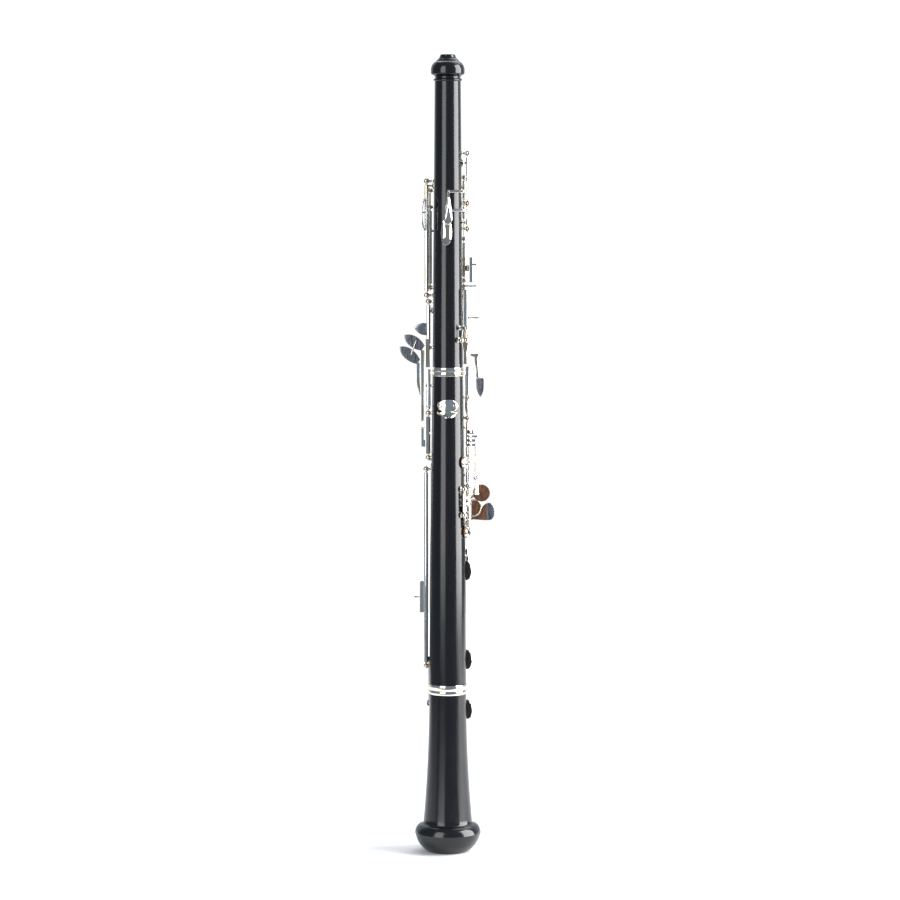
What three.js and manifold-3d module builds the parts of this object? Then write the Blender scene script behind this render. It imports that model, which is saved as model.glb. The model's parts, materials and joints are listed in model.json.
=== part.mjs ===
// A full-conservatoire oboe, standing on its bell: three turned wooden joints, their rings and corks,
// and the keywork as separate keys on steel hinge rods. Millimetres, +Z up the bore, +Y towards the
// finger plates, -Y towards the thumb, +X towards the player's right. The origin is on the bore's
// axis at the foot of the bell.
import * as THREE from "three";
import { mergeVertices } from "three/addons/utils/BufferGeometryUtils.js";
import Module from "manifold-3d";

const wasm = await Module();
wasm.setup();

// ---------------------------------------------------------------- driving dimensions
const BELL_LENGTH = 131.8; // foot of the bell to its socket ring
const BOTTOM_LENGTH = 256.7; // shoulder to shoulder of the bottom joint
const TOP_LENGTH = 251.5; // shoulder of the top joint to the tip of the finial
const TOP_RADIUS = 10.4; // wood below the finial
const MIDDLE_RADIUS = 12.2; // wood at the middle ring
const WAIST_RADIUS = 15.0; // wood at the bell ring
const RIM_RADIUS = 26.9; // widest turn of the bell's rim
const FOOT_RADIUS = 16.4; // flat that the bell stands on
const BORE_TOP = 2.1; // bore radius under the reed well
const BORE_MIDDLE = 4.3; // bore radius at the middle tenon
const BORE_LOW = 7.6; // bore radius at the bell tenon
const BELL_MOUTH = 14.0; // bore radius at the foot of the bell
const BELL_FLARE = 0.85; // outward growth of the bell's outline over the first FLARE_STEP
const FLARE_STEP = 45; // the growth rises with the square of the distance
const WELL_RADIUS = 3.9; // reed well in the wood
const WELL_DEPTH = 18;
const LINER_WALL = 0.5; // metal liner of the reed well
const RING_PROUD = 0.35; // how far a ring stands out of the wood
const MIDDLE_RING = 3.4; // height of each middle ring
const BELL_RING_UPPER = 4.6;
const BELL_RING_LOWER = 3.3;
const RING_WALL = 1.0;
const TENON_LENGTH = 22;
const TENON_WALL = 2.6; // wood between the bore and the cork
const CORK_THICKNESS = 1.1;
const ROD_RADIUS = 0.7;
const TUBE_RADIUS = 1.6;
const BALL_RADIUS = 2.3; // ball head of a post
const STEM_RADIUS = 1.05;
const PLATE_RADIUS = 6.4; // finger plates
const LARGE_CUP_RADIUS = 8.1; // the three lowest pad cups
const SMALL_CUP_RADIUS = 4.2;
const PADDED_CUP_RADIUS = 5.1; // small cups whose pad shows
const CUP_HEIGHT = 2.0;
const PAD_HEIGHT = 1.8;
const OPEN_LIFT = 2.0; // how far an open pad stands off the wood beyond the gap
const ARM_WIDTH = 3.0;
const ARM_THICKNESS = 1.3;
const TOUCH_THICKNESS = 1.5;
const THUMB_PLATE = { width: 16.8, height: 10.4, thickness: 1.1 };
const THUMB_HOOK = { width: 17.6, sag: 3.0, reach: 10.5, thickness: 1.5 };

// Clearances and facets
const GAP = 0.3; // between pieces that lie against each other
const RUNNING_GAP = 0.4; // between the ends of hinge tubes and posts
const WELD = 1e-4;
const WOOD_SIDES = 20;
const TUBE_SIDES = 8;
const POST_SIDES = 6;
const CUP_SIDES = 12;
const BORE_CLEAR = (ROD_RADIUS + GAP) / Math.cos(Math.PI / TUBE_SIDES);

// Heights of the two shoulders and the tip
const BELL_SEAT = BELL_LENGTH;
const SEAT = BELL_SEAT + BOTTOM_LENGTH;
const TIP = SEAT + TOP_LENGTH;
const onTop = (rise) => SEAT + rise; // a place on the top joint
const below = (drop) => SEAT - drop; // on the bottom joint, measured down from the middle ring
const above = (rise) => BELL_SEAT + rise; // on the bottom joint, measured up from the bell ring
const onBell = (drop) => BELL_SEAT - drop;

// Where each pad sits: its angle round the wood from the front, its height, and the radius of the
// hole that it covers.
const TOP_HOLES = {
  firstVent: [62, onTop(166.5), 0.8],
  sideVent: [-42, onTop(148.2), 0.8],
  cSharpTrill: [14, onTop(147), 1.9],
  dTrill: [8, onTop(127.5), 1.9],
  thirdVent: [38, onTop(119), 0.8],
  bFlat: [-26, onTop(112), 2.0],
  halfHole: [0, onTop(89), 1.8],
  a: [0, onTop(61), 2.2],
  gSharp: [-48, onTop(48), 2.2],
  g: [0, onTop(42), 2.4],
};
const LOW_HOLES = {
  fSharp: [0, below(46), 3.0],
  forkF: [112, below(72.5), 2.6],
  e: [0, below(84.5), 3.2],
  d: [0, below(100.5), 3.4],
  eFlat: [103, below(128.6), 3.0],
  cSharp: [-15, above(121), 3.2],
  lowC: [58, above(95.3), 4.6],
  lowB: [58, above(22.8), 5.2],
};
const BELL_HOLE = [58, onBell(17.9), 5.4];

// ---------------------------------------------------------------- small geometry kit
const DEG = Math.PI / 180;
const UP = new THREE.Vector3(0, 0, 1);
const outward = (phi) => new THREE.Vector3(Math.sin(phi * DEG), Math.cos(phi * DEG), 0);
const polar = (phi, r) => [r * Math.sin(phi * DEG), r * Math.cos(phi * DEG)];

function solid(geometry) {
  const bare = geometry.clone();
  bare.deleteAttribute("normal");
  bare.deleteAttribute("uv");
  const merged = mergeVertices(bare, WELD);
  const corners = merged.index.array;
  const kept = [];
  for (let i = 0; i < corners.length; i += 3) {
    const [a, b, c] = [corners[i], corners[i + 1], corners[i + 2]];
    if (a !== b && b !== c && c !== a) kept.push(a, b, c);
  }
  const build = (triangles) =>
    new wasm.Manifold(
      new wasm.Mesh({
        numProp: 3,
        vertProperties: merged.attributes.position.array,
        triVerts: new Uint32Array(triangles),
      }),
    );
  const made = build(kept);
  return made.volume() < 0 ? build(kept.reverse()) : made;
}

const join = (...pieces) => pieces.map(asSolid).reduce((a, b) => a.add(b));
const cut = (body, ...tools) => tools.map(asSolid).reduce((a, b) => a.subtract(b), asSolid(body));
const asSolid = (piece) => (piece.isBufferGeometry ? solid(piece) : piece);

// A turned piece about +Z from [radius, height] pairs that start and end on the axis or close.
function turned(profile, sides = WOOD_SIDES) {
  const points = profile.map(([r, z]) => new THREE.Vector2(r, z));
  return new THREE.LatheGeometry(points, sides).rotateX(Math.PI / 2);
}

// A ring about +Z with a rectangular section.
const ring = (inner, outer, low, high, sides = WOOD_SIDES) =>
  turned([[inner, low], [outer, low], [outer, high], [inner, high], [inner, low]], sides);

// A plain rod about +Z at [x, y].
const rodAt = ([x, y], radius, low, high, sides = TUBE_SIDES) =>
  turned([[0, low], [radius, low], [radius, high], [0, high]], sides).translate(x, y, 0);

// Stands a piece that was turned about +Z on the wood, pointing outward at angle phi and height z.
function standing(geometry, phi, z) {
  const out = outward(phi);
  const frame = new THREE.Matrix4().makeBasis(UP.clone().cross(out), UP, out);
  return geometry.applyMatrix4(frame).translate(0, 0, z);
}

// A flat strip of one thickness along a line of [x, y] points, standing from low to high.
function strip(line, thickness, low, high) {
  const side = (i, sign) => {
    const before = line[Math.max(i - 1, 0)];
    const after = line[Math.min(i + 1, line.length - 1)];
    const run = Math.hypot(after[0] - before[0], after[1] - before[1]);
    const across = [(-(after[1] - before[1]) / run) * sign, ((after[0] - before[0]) / run) * sign];
    return new THREE.Vector2(
      line[i][0] + (across[0] * thickness) / 2,
      line[i][1] + (across[1] * thickness) / 2,
    );
  };
  const left = line.map((_, i) => side(i, 1));
  const right = line.map((_, i) => side(i, -1)).reverse();
  const shape = new THREE.Shape([...left, ...right]);
  const settings = { depth: high - low, bevelEnabled: false };
  return new THREE.ExtrudeGeometry(shape, settings).translate(0, 0, low);
}

// The same strip drawn on [x, z] and running along Y from back to front.
function wall(line, thickness, back, front) {
  return strip(line, thickness, 0, front - back)
    .rotateX(Math.PI / 2)
    .translate(0, front, 0);
}

// A flat plate drawn as a shape on [x, z], between two Y levels.
function plate(shape, back, front, curveSegments = 5) {
  const settings = { depth: front - back, bevelEnabled: false, curveSegments };
  return new THREE.ExtrudeGeometry(shape, settings).rotateX(Math.PI / 2).translate(0, front, 0);
}

// A leaf-shaped outline from its root to its tip, both [x, z].
function leaf(root, tip, rootWidth, width) {
  const along = new THREE.Vector2(tip[0] - root[0], tip[1] - root[1]);
  const length = along.length();
  along.normalize();
  const across = new THREE.Vector2(-along.y, along.x);
  const at = (u, v) => [
    root[0] + along.x * u * length + across.x * v,
    root[1] + along.y * u * length + across.y * v,
  ];
  const bulge = width * 0.62;
  const shape = new THREE.Shape();
  shape.moveTo(...at(0, -rootWidth / 2));
  shape.bezierCurveTo(...at(0.35, -bulge), ...at(0.9, -bulge), ...at(1, 0));
  shape.bezierCurveTo(...at(0.9, bulge), ...at(0.35, bulge), ...at(0, rootWidth / 2));
  return shape;
}

function disc([x, z], radius) {
  const shape = new THREE.Shape();
  shape.absarc(x, z, radius, 0, Math.PI * 2);
  return shape;
}

// ---------------------------------------------------------------- wood
const CORE_TOP = TIP - 21; // where the finial's neck ends
const woodLine = [
  [BELL_SEAT, WAIST_RADIUS],
  [above(112), WAIST_RADIUS - 0.85],
  [below(79), MIDDLE_RADIUS + 1.0],
  [SEAT, MIDDLE_RADIUS],
  [CORE_TOP, TOP_RADIUS],
];

// Radius of the wood at a height on either joint, or on the upper part of the bell.
function woodRadius(z) {
  if (z <= BELL_SEAT) return WAIST_RADIUS + BELL_FLARE * ((BELL_SEAT - z) / FLARE_STEP) ** 2;
  const next = woodLine.findIndex(([height]) => height > z);
  if (next < 0) return TOP_RADIUS;
  const [[z0, r0], [z1, r1]] = [woodLine[next - 1], woodLine[next]];
  return r0 + ((r1 - r0) * (z - z0)) / (z1 - z0);
}

function boreRadius(z) {
  const [from, foot, to, top] = z > SEAT
    ? [BORE_MIDDLE, SEAT, BORE_TOP, TIP - WELL_DEPTH]
    : [BORE_LOW, BELL_SEAT, BORE_MIDDLE, SEAT];
  return from + ((to - from) * (z - foot)) / (top - foot);
}

const tenonRadius = (z) => boreRadius(z) + TENON_WALL;
const corkRadius = (z) => tenonRadius(z) + CORK_THICKNESS;
const socketRadius = (z) => corkRadius(z) + GAP;

// Outline of a tenon that hangs below a shoulder, with a groove for its cork.
function tenon(seat) {
  const foot = seat - TENON_LENGTH;
  const full = corkRadius(seat) - GAP;
  const grooved = tenonRadius(seat);
  return [
    [full, foot], [full, foot + 2.5], [grooved, foot + 2.5],
    [grooved, seat - 3.5], [full, seat - 3.5], [full, seat + GAP / 2],
  ];
}

const corkRing = (seat) =>
  ring(tenonRadius(seat) + GAP, corkRadius(seat), seat - TENON_LENGTH + 2.8, seat - 3.8);

// A drilled tone hole from the bore out through the wood.
const toneHole = ([phi, z, radius]) =>
  standing(turned([[0, 1], [radius, 1], [radius, 40], [0, 40]], TUBE_SIDES), phi, z);

function topJoint() {
  const well = TIP - WELL_DEPTH;
  const ringTop = SEAT + MIDDLE_RING + GAP;
  const outline = [
    [boreRadius(SEAT), SEAT - TENON_LENGTH],
    ...tenon(SEAT),
    [MIDDLE_RADIUS - RING_WALL, SEAT + GAP / 2],
    [MIDDLE_RADIUS - RING_WALL, ringTop],
    [woodRadius(ringTop), ringTop],
    [TOP_RADIUS, CORE_TOP],
    [TOP_RADIUS + 1.05, TIP - 19.6], [TOP_RADIUS + 1.05, TIP - 18.8],
    [TOP_RADIUS - 0.2, TIP - 17.8], [TOP_RADIUS - 0.1, TIP - 16.4],
    [TOP_RADIUS + 1.4, TIP - 15.4], [TOP_RADIUS + 3.0, TIP - 14.4],
    [TOP_RADIUS + 3.05, TIP - 11.2], [TOP_RADIUS + 2.6, TIP - 8.8],
    [TOP_RADIUS + 2.0, TIP - 7.4], [TOP_RADIUS + 0.5, TIP - 5.5],
    [TOP_RADIUS - 1.5, TIP - 4.1], [WELL_RADIUS + 3.0, TIP - 2.1],
    [WELL_RADIUS + 2.3, TIP - 0.6], [WELL_RADIUS + 1.8, TIP],
    [WELL_RADIUS, TIP], [WELL_RADIUS, well], [BORE_TOP, well],
    [boreRadius(SEAT), SEAT - TENON_LENGTH],
  ];
  return cut(turned(outline), ...Object.values(TOP_HOLES).map(toneHole));
}

function bottomJoint() {
  const socket = socketRadius(SEAT);
  const depth = TENON_LENGTH + 1.5;
  const ringTop = SEAT - GAP / 2;
  const ringFoot = SEAT - MIDDLE_RING - GAP;
  const lowRing = BELL_SEAT + BELL_RING_UPPER + GAP;
  const outline = [
    [boreRadius(BELL_SEAT), BELL_SEAT - TENON_LENGTH],
    ...tenon(BELL_SEAT),
    [WAIST_RADIUS - RING_WALL, BELL_SEAT + GAP / 2],
    [WAIST_RADIUS - RING_WALL, lowRing],
    [woodRadius(lowRing), lowRing],
    ...woodLine.slice(1, 3).map(([z, r]) => [r, z]),
    [woodRadius(ringFoot), ringFoot],
    [MIDDLE_RADIUS - RING_WALL, ringFoot], [MIDDLE_RADIUS - RING_WALL, ringTop],
    [socket, ringTop], [socket, SEAT - depth], [boreRadius(SEAT), SEAT - depth],
    [boreRadius(BELL_SEAT), BELL_SEAT - TENON_LENGTH],
  ];
  return cut(turned(outline), ...Object.values(LOW_HOLES).map(toneHole));
}

function bell() {
  const socket = socketRadius(BELL_SEAT);
  const depth = TENON_LENGTH + 1.5;
  const ringTop = BELL_SEAT - GAP / 2;
  const ringFoot = BELL_SEAT - BELL_RING_LOWER - GAP;
  const flare = [0.81, 0.76, 0.63, 0.5, 0.34].map((share) => onBell(BELL_LENGTH * share));
  const mouth = [0.75, 0.5, 0.25].map((share) => {
    const z = (BELL_SEAT - depth) * share;
    return [BORE_LOW + (BELL_MOUTH - BORE_LOW) * (1 - share) ** 1.6, z];
  });
  const outline = [
    [BELL_MOUTH, 0], [FOOT_RADIUS, 0], [FOOT_RADIUS + 3.8, 2.9], [RIM_RADIUS - 3.7, 6.2],
    [RIM_RADIUS - 1.6, 10.0], [RIM_RADIUS, 15.0], [RIM_RADIUS - 0.4, 17.6],
    [RIM_RADIUS - 1.6, 20.2], [RIM_RADIUS - 3.5, 22.0], [RIM_RADIUS - 6.4, 23.2],
    ...flare.map((z) => [woodRadius(z), z]),
    [woodRadius(ringFoot), ringFoot],
    [WAIST_RADIUS - RING_WALL, ringFoot], [WAIST_RADIUS - RING_WALL, ringTop],
    [socket, ringTop], [socket, BELL_SEAT - depth], [BORE_LOW, BELL_SEAT - depth],
    ...mouth,
    [BELL_MOUTH, 0],
  ];
  return cut(turned(outline), toneHole(BELL_HOLE));
}

// ---------------------------------------------------------------- rods and posts
// Each rod stands at angle phi, its axis a stated stand-off above the widest wood it passes.
const rod = (phi, standoff, low, high, posts) => {
  const radius = Math.max(woodRadius(low), woodRadius(high)) + standoff;
  return { phi, radius, low, high, posts, at: polar(phi, radius) };
};

// A post: a foot that stops a clearance short of the wood, a thin stem and a ball head on the rod.
// On a low post the ball sits straight on a plain stem.
function post(phi, z, axis) {
  const foot = woodRadius(z) + GAP;
  const ball = [
    [STEM_RADIUS, axis - BALL_RADIUS * 0.9], [BALL_RADIUS * 0.92, axis - BALL_RADIUS * 0.45],
    [BALL_RADIUS * 0.92, axis + BALL_RADIUS * 0.45], [BALL_RADIUS * 0.4, axis + BALL_RADIUS],
    [0, axis + BALL_RADIUS],
  ];
  const flange = STEM_RADIUS + 0.7;
  const base = axis - foot > BALL_RADIUS + 1.2
    ? [[0, foot], [flange, foot], [flange, foot + 0.6], [STEM_RADIUS, foot + 1]]
    : [[0, foot], [STEM_RADIUS, foot]];
  return standing(turned([...base, ...ball], POST_SIDES), phi, z);
}

const rodSet = (r) =>
  join(rodAt(r.at, ROD_RADIUS, r.low, r.high), ...r.posts.map((z) => post(r.phi, z, r.radius)));

const RODS = {
  octave: rod(95.4, 4.9, onTop(113), onTop(175), [onTop(174), onTop(134.3), onTop(114)]),
  upperStack: rod(65.2, 2.7, onTop(30), onTop(156), [155, 134.3, 106, 72.6, 31].map(onTop)),
  sideOctave: rod(-93.4, 5.2, onTop(60), onTop(153), [onTop(152), onTop(61)]),
  bFlat: rod(-72, 3.3, onTop(66), onTop(145.4), [onTop(144.3), onTop(131.2), onTop(67)]),
  gSharp: rod(-80, 3.6, onTop(18), onTop(57), [onTop(19), onTop(56)]),
  lowerStack: rod(81, 2.6, below(123), below(20), [21, 37.5, 92.5, 122].map(below)),
  eFlat: rod(127, 2.7, below(115.5), below(93.5), [below(114.9), below(94)]),
  foot: rod(15, 2.7, above(105.5), above(130), [above(106.5), above(129)]),
  leftLever: rod(-81, 2.7, below(70.4), below(10.5), [69.4, 33.5, 11.5].map(below)),
  longLeft: rod(-86.5, 2.6, above(18), below(76.9), [above(18.8), below(78.5)]),
  lowB: rod(-44, 2.7, above(9.5), below(71), [above(10.5), below(72)]),
  bellKey: rod(-44, 2.7, onBell(36.6), onBell(5.6), [onBell(35.8), onBell(6.6)]),
};

// ---------------------------------------------------------------- keys
// A key is a hinge tube about its rod with everything soldered to it.
function key(r, low, high, ...pieces) {
  const tube = rodAt(r.at, TUBE_RADIUS, low, high);
  const bore = rodAt(r.at, BORE_CLEAR, low - 60, high + 60);
  return cut(join(tube, ...pieces), bore);
}

// The line of an arm that follows the wood round from a rod and comes in flat over the rim of a cup,
// its middle reach from the axis at the cup.
function armLine(r, phi, reach, cupRadius) {
  const turn = Math.sign(phi - r.phi);
  const rim = Math.atan2(cupRadius, reach) / DEG;
  const sweep = phi - turn * rim - r.phi;
  if (sweep * turn < 8) return [r.at, polar(phi, reach)];
  const atRim = Math.hypot(reach, cupRadius);
  const steps = Math.max(1, Math.round(Math.abs(sweep) / 24));
  const line = [];
  for (let i = 0; i <= steps; i++) {
    const share = i / steps;
    line.push(polar(r.phi + sweep * share, r.radius + (atRim - r.radius) * share ** 0.6));
  }
  return [...line, polar(phi, reach)];
}

const arm = (r, [phi, z], lift, cupRadius, width = ARM_WIDTH) =>
  strip(armLine(r, phi, woodRadius(z) + lift, cupRadius), ARM_THICKNESS, z - width / 2, z + width / 2);

// A pad cup over a hole. Where the pad is not a piece of its own the cup's solid fills it too.
function cup([phi, z], radius, lift, ownPad = false) {
  const foot = woodRadius(z) + GAP + lift;
  const face = foot + (ownPad ? PAD_HEIGHT + GAP : 0);
  const back = foot + PAD_HEIGHT + CUP_HEIGHT;
  const rim = back - CUP_HEIGHT * 0.5;
  const profile = [[0, face], [radius, face], [radius, rim], [radius * 0.72, back], [0, back]];
  return standing(turned(profile, CUP_SIDES), phi, z);
}

// A round pad under a cup.
function pad([phi, z], cupRadius, lift) {
  const face = woodRadius(z) + GAP + lift;
  const radius = cupRadius - 0.5;
  const profile = [[0, face], [radius, face], [radius, face + PAD_HEIGHT], [0, face + PAD_HEIGHT]];
  return standing(turned(profile, CUP_SIDES), phi, z);
}

const CUP_BACK = GAP + PAD_HEIGHT + CUP_HEIGHT; // outer face of a closed cup above the wood
const armLift = (lift) => lift + CUP_BACK - ARM_THICKNESS / 2 - 0.2;

// A key with one cup on an arm.
const cupKey = (r, low, high, hole, radius, lift, ownPad, ...more) =>
  key(r, low, high, arm(r, hole, armLift(lift), radius), cup(hole, radius, lift, ownPad), ...more);

const endsClear = BALL_RADIUS + RUNNING_GAP; // a tube's end from the middle of a post

// The same with a small closed cup, with a finger plate, and with a large open cup.
const smallKey = (r, low, high, hole) => cupKey(r, low, high, hole, SMALL_CUP_RADIUS, 0, false);
const stackKey = (r, low, high, hole, ...more) =>
  cupKey(r, low, high, hole, PLATE_RADIUS, OPEN_LIFT, false, ...more);
const lowKey = (r, low, high, hole, ...more) =>
  cupKey(r, low, high, hole, LARGE_CUP_RADIUS, OPEN_LIFT, true, ...more);

// -- thumb octave keys, hinged on the right and reaching round the back
const thumbLevel = woodRadius(onTop(129)) + 1.9; // inner face of the lower thumb key
const upperThumbLevel = thumbLevel + 3.4;

function thumbKey(low, high, armZ, level, petal, ...more) {
  const r = RODS.octave;
  const out = level + ARM_THICKNESS / 2;
  const line = [r.at, [r.at[0] - 1.2, -out + 3.5], [r.at[0] - 4.5, -out], [0.4, -out]];
  return key(r, low, high, strip(line, ARM_THICKNESS, armZ - 1.7, armZ + 1.7),
    plate(petal, -level - TOUCH_THICKNESS, -level), ...more);
}

const bar = ([x0, z0], [x1, z1], width) => {
  const run = Math.hypot(x1 - x0, z1 - z0);
  const [ax, az] = [(-(z1 - z0) / run) * (width / 2), ((x1 - x0) / run) * (width / 2)];
  return new THREE.Shape([
    new THREE.Vector2(x0 + ax, z0 + az), new THREE.Vector2(x1 + ax, z1 + az),
    new THREE.Vector2(x1 - ax, z1 - az), new THREE.Vector2(x0 - ax, z0 - az),
  ]);
};

const VENT_CUP_RADIUS = SMALL_CUP_RADIUS - 0.6;
function firstOctaveKey() {
  return thumbKey(onTop(137.2), onTop(171), onTop(143.8), upperThumbLevel,
    leaf([0.2, onTop(145.2)], [0.0, onTop(118.4)], 3.0, 7.6),
    arm(RODS.octave, TOP_HOLES.firstVent, armLift(0), VENT_CUP_RADIUS),
    cup(TOP_HOLES.firstVent, VENT_CUP_RADIUS, 0));
}

// The third octave key's arm passes over the stack rod, so its cup stands on a short pillar.
function thirdOctaveKey() {
  const [phi, z] = TOP_HOLES.thirdVent;
  const over = RODS.upperStack.radius + ROD_RADIUS + GAP + ARM_THICKNESS;
  const [width, foot, head] = [1.3, woodRadius(z) + 3, over + 0.4];
  const pillar = turned([[0, foot], [width, foot], [width, head], [0, head]], TUBE_SIDES);
  return thumbKey(onTop(117), onTop(131.3), onTop(128.9), thumbLevel,
    leaf([-0.6, onTop(120.5)], [-1.2, onTop(101)], 5.6, 8.4),
    plate(bar([0, onTop(130.4)], [0, z], 4.2), -thumbLevel - ARM_THICKNESS, -thumbLevel),
    strip([RODS.octave.at, polar(66, over), polar(phi, over)], ARM_THICKNESS, z - 1.4, z + 1.4),
    standing(pillar, phi, z),
    cup(TOP_HOLES.thirdVent, VENT_CUP_RADIUS, 0));
}

// -- side octave key: a long tube on the left with a dished touch plate
function sideOctaveKey() {
  const r = RODS.sideOctave;
  const [x] = r.at;
  const dish = [
    [x - 2.0, onTop(138.5)], [x - 3.9, onTop(131)], [x - 4.2, onTop(122)], [x - 2.2, onTop(112.5)],
  ];
  return key(r, onTop(64), onTop(149.2),
    wall(dish, 1.2, -9, 0.5),
    wall([[x - 1.0, onTop(127)], [x - 4.0, onTop(127)]], 2.4, -1.6, 1.6),
    arm(r, TOP_HOLES.sideVent, armLift(0), SMALL_CUP_RADIUS, 2.0),
    cup(TOP_HOLES.sideVent, SMALL_CUP_RADIUS, 0));
}

const bFlatKey = () =>
  smallKey(RODS.bFlat, onTop(70), onTop(131.2 - endsClear), TOP_HOLES.bFlat);

// -- G sharp key with its leaf-shaped touch on the far left and a tail down to the middle ring
function gSharpKey() {
  const r = RODS.gSharp;
  const [x, y] = r.at;
  const touch = leaf([x + 0.2, onTop(34)], [x - 11.4, onTop(35.4)], 9.6, 9.2);
  return key(r, onTop(19 + endsClear), onTop(56 - endsClear),
    plate(touch, y + 1.2, y + 1.2 + TOUCH_THICKNESS),
    strip([[x, y], [x - 1.2, y - 3.3]], 2, onTop(22.6), onTop(26)),
    plate(bar([x - 1.2, onTop(26)], [x - 1.2, onTop(3)], 3.2), y - 3.9, y - 2.7, 1),
    arm(r, TOP_HOLES.gSharp, armLift(0), SMALL_CUP_RADIUS),
    cup(TOP_HOLES.gSharp, SMALL_CUP_RADIUS, 0));
}

// -- the upper stack, hinged on the right, its plates down the front
// The half-hole key has a lower plate for the half hole and an adjusting arm out to the side.
function halfHoleKey() {
  const r = RODS.upperStack;
  const [x, y] = r.at;
  const z = TOP_HOLES.halfHole[1];
  const front = woodRadius(z) + OPEN_LIFT + CUP_BACK;
  const extension = plate(leaf([2, z - 3], [2.2, z - 15.5], 8.5, 8.5), front - 1.6, front);
  const adjuster = strip([r.at, [x + 3.5, y - 2.5], [x + 6.6, y - 3.5]], 1.2, onTop(80), onTop(85));
  return stackKey(r, onTop(75.6), onTop(102.8), TOP_HOLES.halfHole, extension, adjuster);
}

const aKey = () =>
  stackKey(RODS.upperStack, onTop(52), onTop(72.6 - endsClear), TOP_HOLES.a);

const gKey = () =>
  stackKey(RODS.upperStack, onTop(31 + endsClear), onTop(51.6), TOP_HOLES.g);

// -- trill keys and the rocking lever that works the upper one from below
const cSharpTrillKey = () =>
  smallKey(RODS.upperStack, onTop(134.3 + endsClear), onTop(155 - endsClear), TOP_HOLES.cSharpTrill);

const dTrillKey = () =>
  smallKey(RODS.upperStack, onTop(121.6), onTop(134.3 - endsClear), TOP_HOLES.dTrill);

const TRILL_Z = onTop(25.4); // height of the pin that the lever rocks on
const TRILL = { phi: 116, radius: woodRadius(TRILL_Z) + 2.9 };

// A round bar that lies across the wood where a lever rocks lengthways.
function crossBar({ phi, radius }, z, thickness, half) {
  const [x, y] = polar(phi, radius);
  const round = turned([[0, -half], [thickness, -half], [thickness, half], [0, half]], TUBE_SIDES);
  return standing(round.rotateY(Math.PI / 2), phi, z).translate(x, y, 0);
}

function trillLever(place, z) {
  const [x, y] = polar(place.phi, place.radius);
  const out = outward(place.phi);
  const spine = [x + out.x * 0.6, y + out.y * 0.6];
  const beam = strip([[spine[0] - out.y, spine[1] + out.x], [spine[0] + out.y, spine[1] - out.x]],
    1.2, z - 12, onTop(66));
  const top = onTop(13.2);
  const neck = strip([spine, [x + 5.5, y + 2.6], [x + 11.5, y + 4.5]], 1.4, top - 0.6, top + 2.6);
  const petal = new THREE.Shape();
  petal.moveTo(x + 9.6, top + 1.0);
  petal.bezierCurveTo(x + 9.2, top - 14, x + 10.2, top - 28, x + 13.6, top - 36);
  petal.bezierCurveTo(x + 17.2, top - 26, x + 17.0, top - 10, x + 12.6, top + 1.0);
  const touch = plate(petal, y + 3.4, y + 3.4 + TOUCH_THICKNESS);
  const lever = join(crossBar(place, z, TUBE_RADIUS, 3), beam, neck, touch);
  return cut(lever, crossBar(place, z, BORE_CLEAR, 9));
}

// A cross pin carried by two ball posts.
const CROSS_HALF = 5.6;
function crossPin(place, z) {
  const swing = Math.atan2(CROSS_HALF, place.radius) / DEG;
  const head = Math.hypot(CROSS_HALF, place.radius);
  return join(crossBar(place, z, ROD_RADIUS, CROSS_HALF),
    post(place.phi - swing, z, head), post(place.phi + swing, z, head));
}

// -- levers for the left little finger, their stems one in front of the other below the ring
const STEM_OFFSET = 4.9; // from the hinge line out to the stems
function leftLever(low, high, stemTop, touch, level) {
  const r = RODS.leftLever;
  const [x, y] = r.at;
  const mid = (low + high) / 2;
  const [back, front] = [y + level - 0.7, y + level + 0.7];
  const root = [[x, y], [x - 2.4, y + level * 0.5], [x - STEM_OFFSET - 0.6, y + level]];
  return key(r, low, high,
    strip(root, 1.4, mid - 3, mid + 3),
    wall([...stemTop, [x - STEM_OFFSET, mid - 3]], 2.2, back, front),
    plate(touch, back, back + TOUCH_THICKNESS));
}

const lowBLever = () => {
  const [x] = RODS.leftLever.at;
  return leftLever(below(49), below(36.6), [[x - STEM_OFFSET, onTop(17)]],
    leaf([x - 4.2, onTop(18.4)], [x - 19.4, onTop(29)], 5.0, 9.4), 1.6);
};

const lowBFlatLever = () => {
  const [x] = RODS.leftLever.at;
  const cranked = [[x - 8.4, onTop(7)], [x - 8.4, below(10)], [x - STEM_OFFSET, below(22)]];
  return leftLever(below(66.4), below(50.2), cranked,
    leaf([x - 8.0, onTop(7.2)], [x - 23.0, onTop(19.6)], 4.6, 9.4), 4.6);
};

// A small key across the middle ring, which lifts the tail of the G sharp key.
const leftBridgeKey = () => {
  const r = RODS.leftLever;
  const [x, y] = r.at;
  return key(r, below(30.4), below(11.5 + endsClear),
    plate(bar([x + 0.4, below(28)], [x + 0.4, onTop(2)], 3.2), y - 4.1, y - 2.9, 1),
    strip([[x, y], [x, y - 3.4]], 2.0, below(29), below(16)));
};

// -- long tubes down the left side
function lowBFlatLink() {
  const r = RODS.longLeft;
  const [x, y] = r.at;
  const finger = WAIST_RADIUS + RING_PROUD + GAP + ARM_THICKNESS / 2 + 0.05;
  const over = polar(-66, finger);
  return key(r, above(18.8 + endsClear), below(78.5 + endsClear),
    strip([r.at, polar(-76, finger), over], ARM_THICKNESS, above(22), above(26)),
    strip([polar(-69.5, finger), polar(-62.5, finger)], ARM_THICKNESS, onBell(13), above(26)),
    strip([[x - 0.9, y], [x - 3.8, y]], 1.3, above(61.7), above(88)),
    rodAt([0, 0], 0.8, 0, 5.6, 6).rotateY(-Math.PI / 2).translate(x - 3.4, y, above(74.7)));
}

const lowBKey = () =>
  lowKey(RODS.lowB, above(10.5 + endsClear), below(72 + endsClear), LOW_HOLES.lowB);

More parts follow.
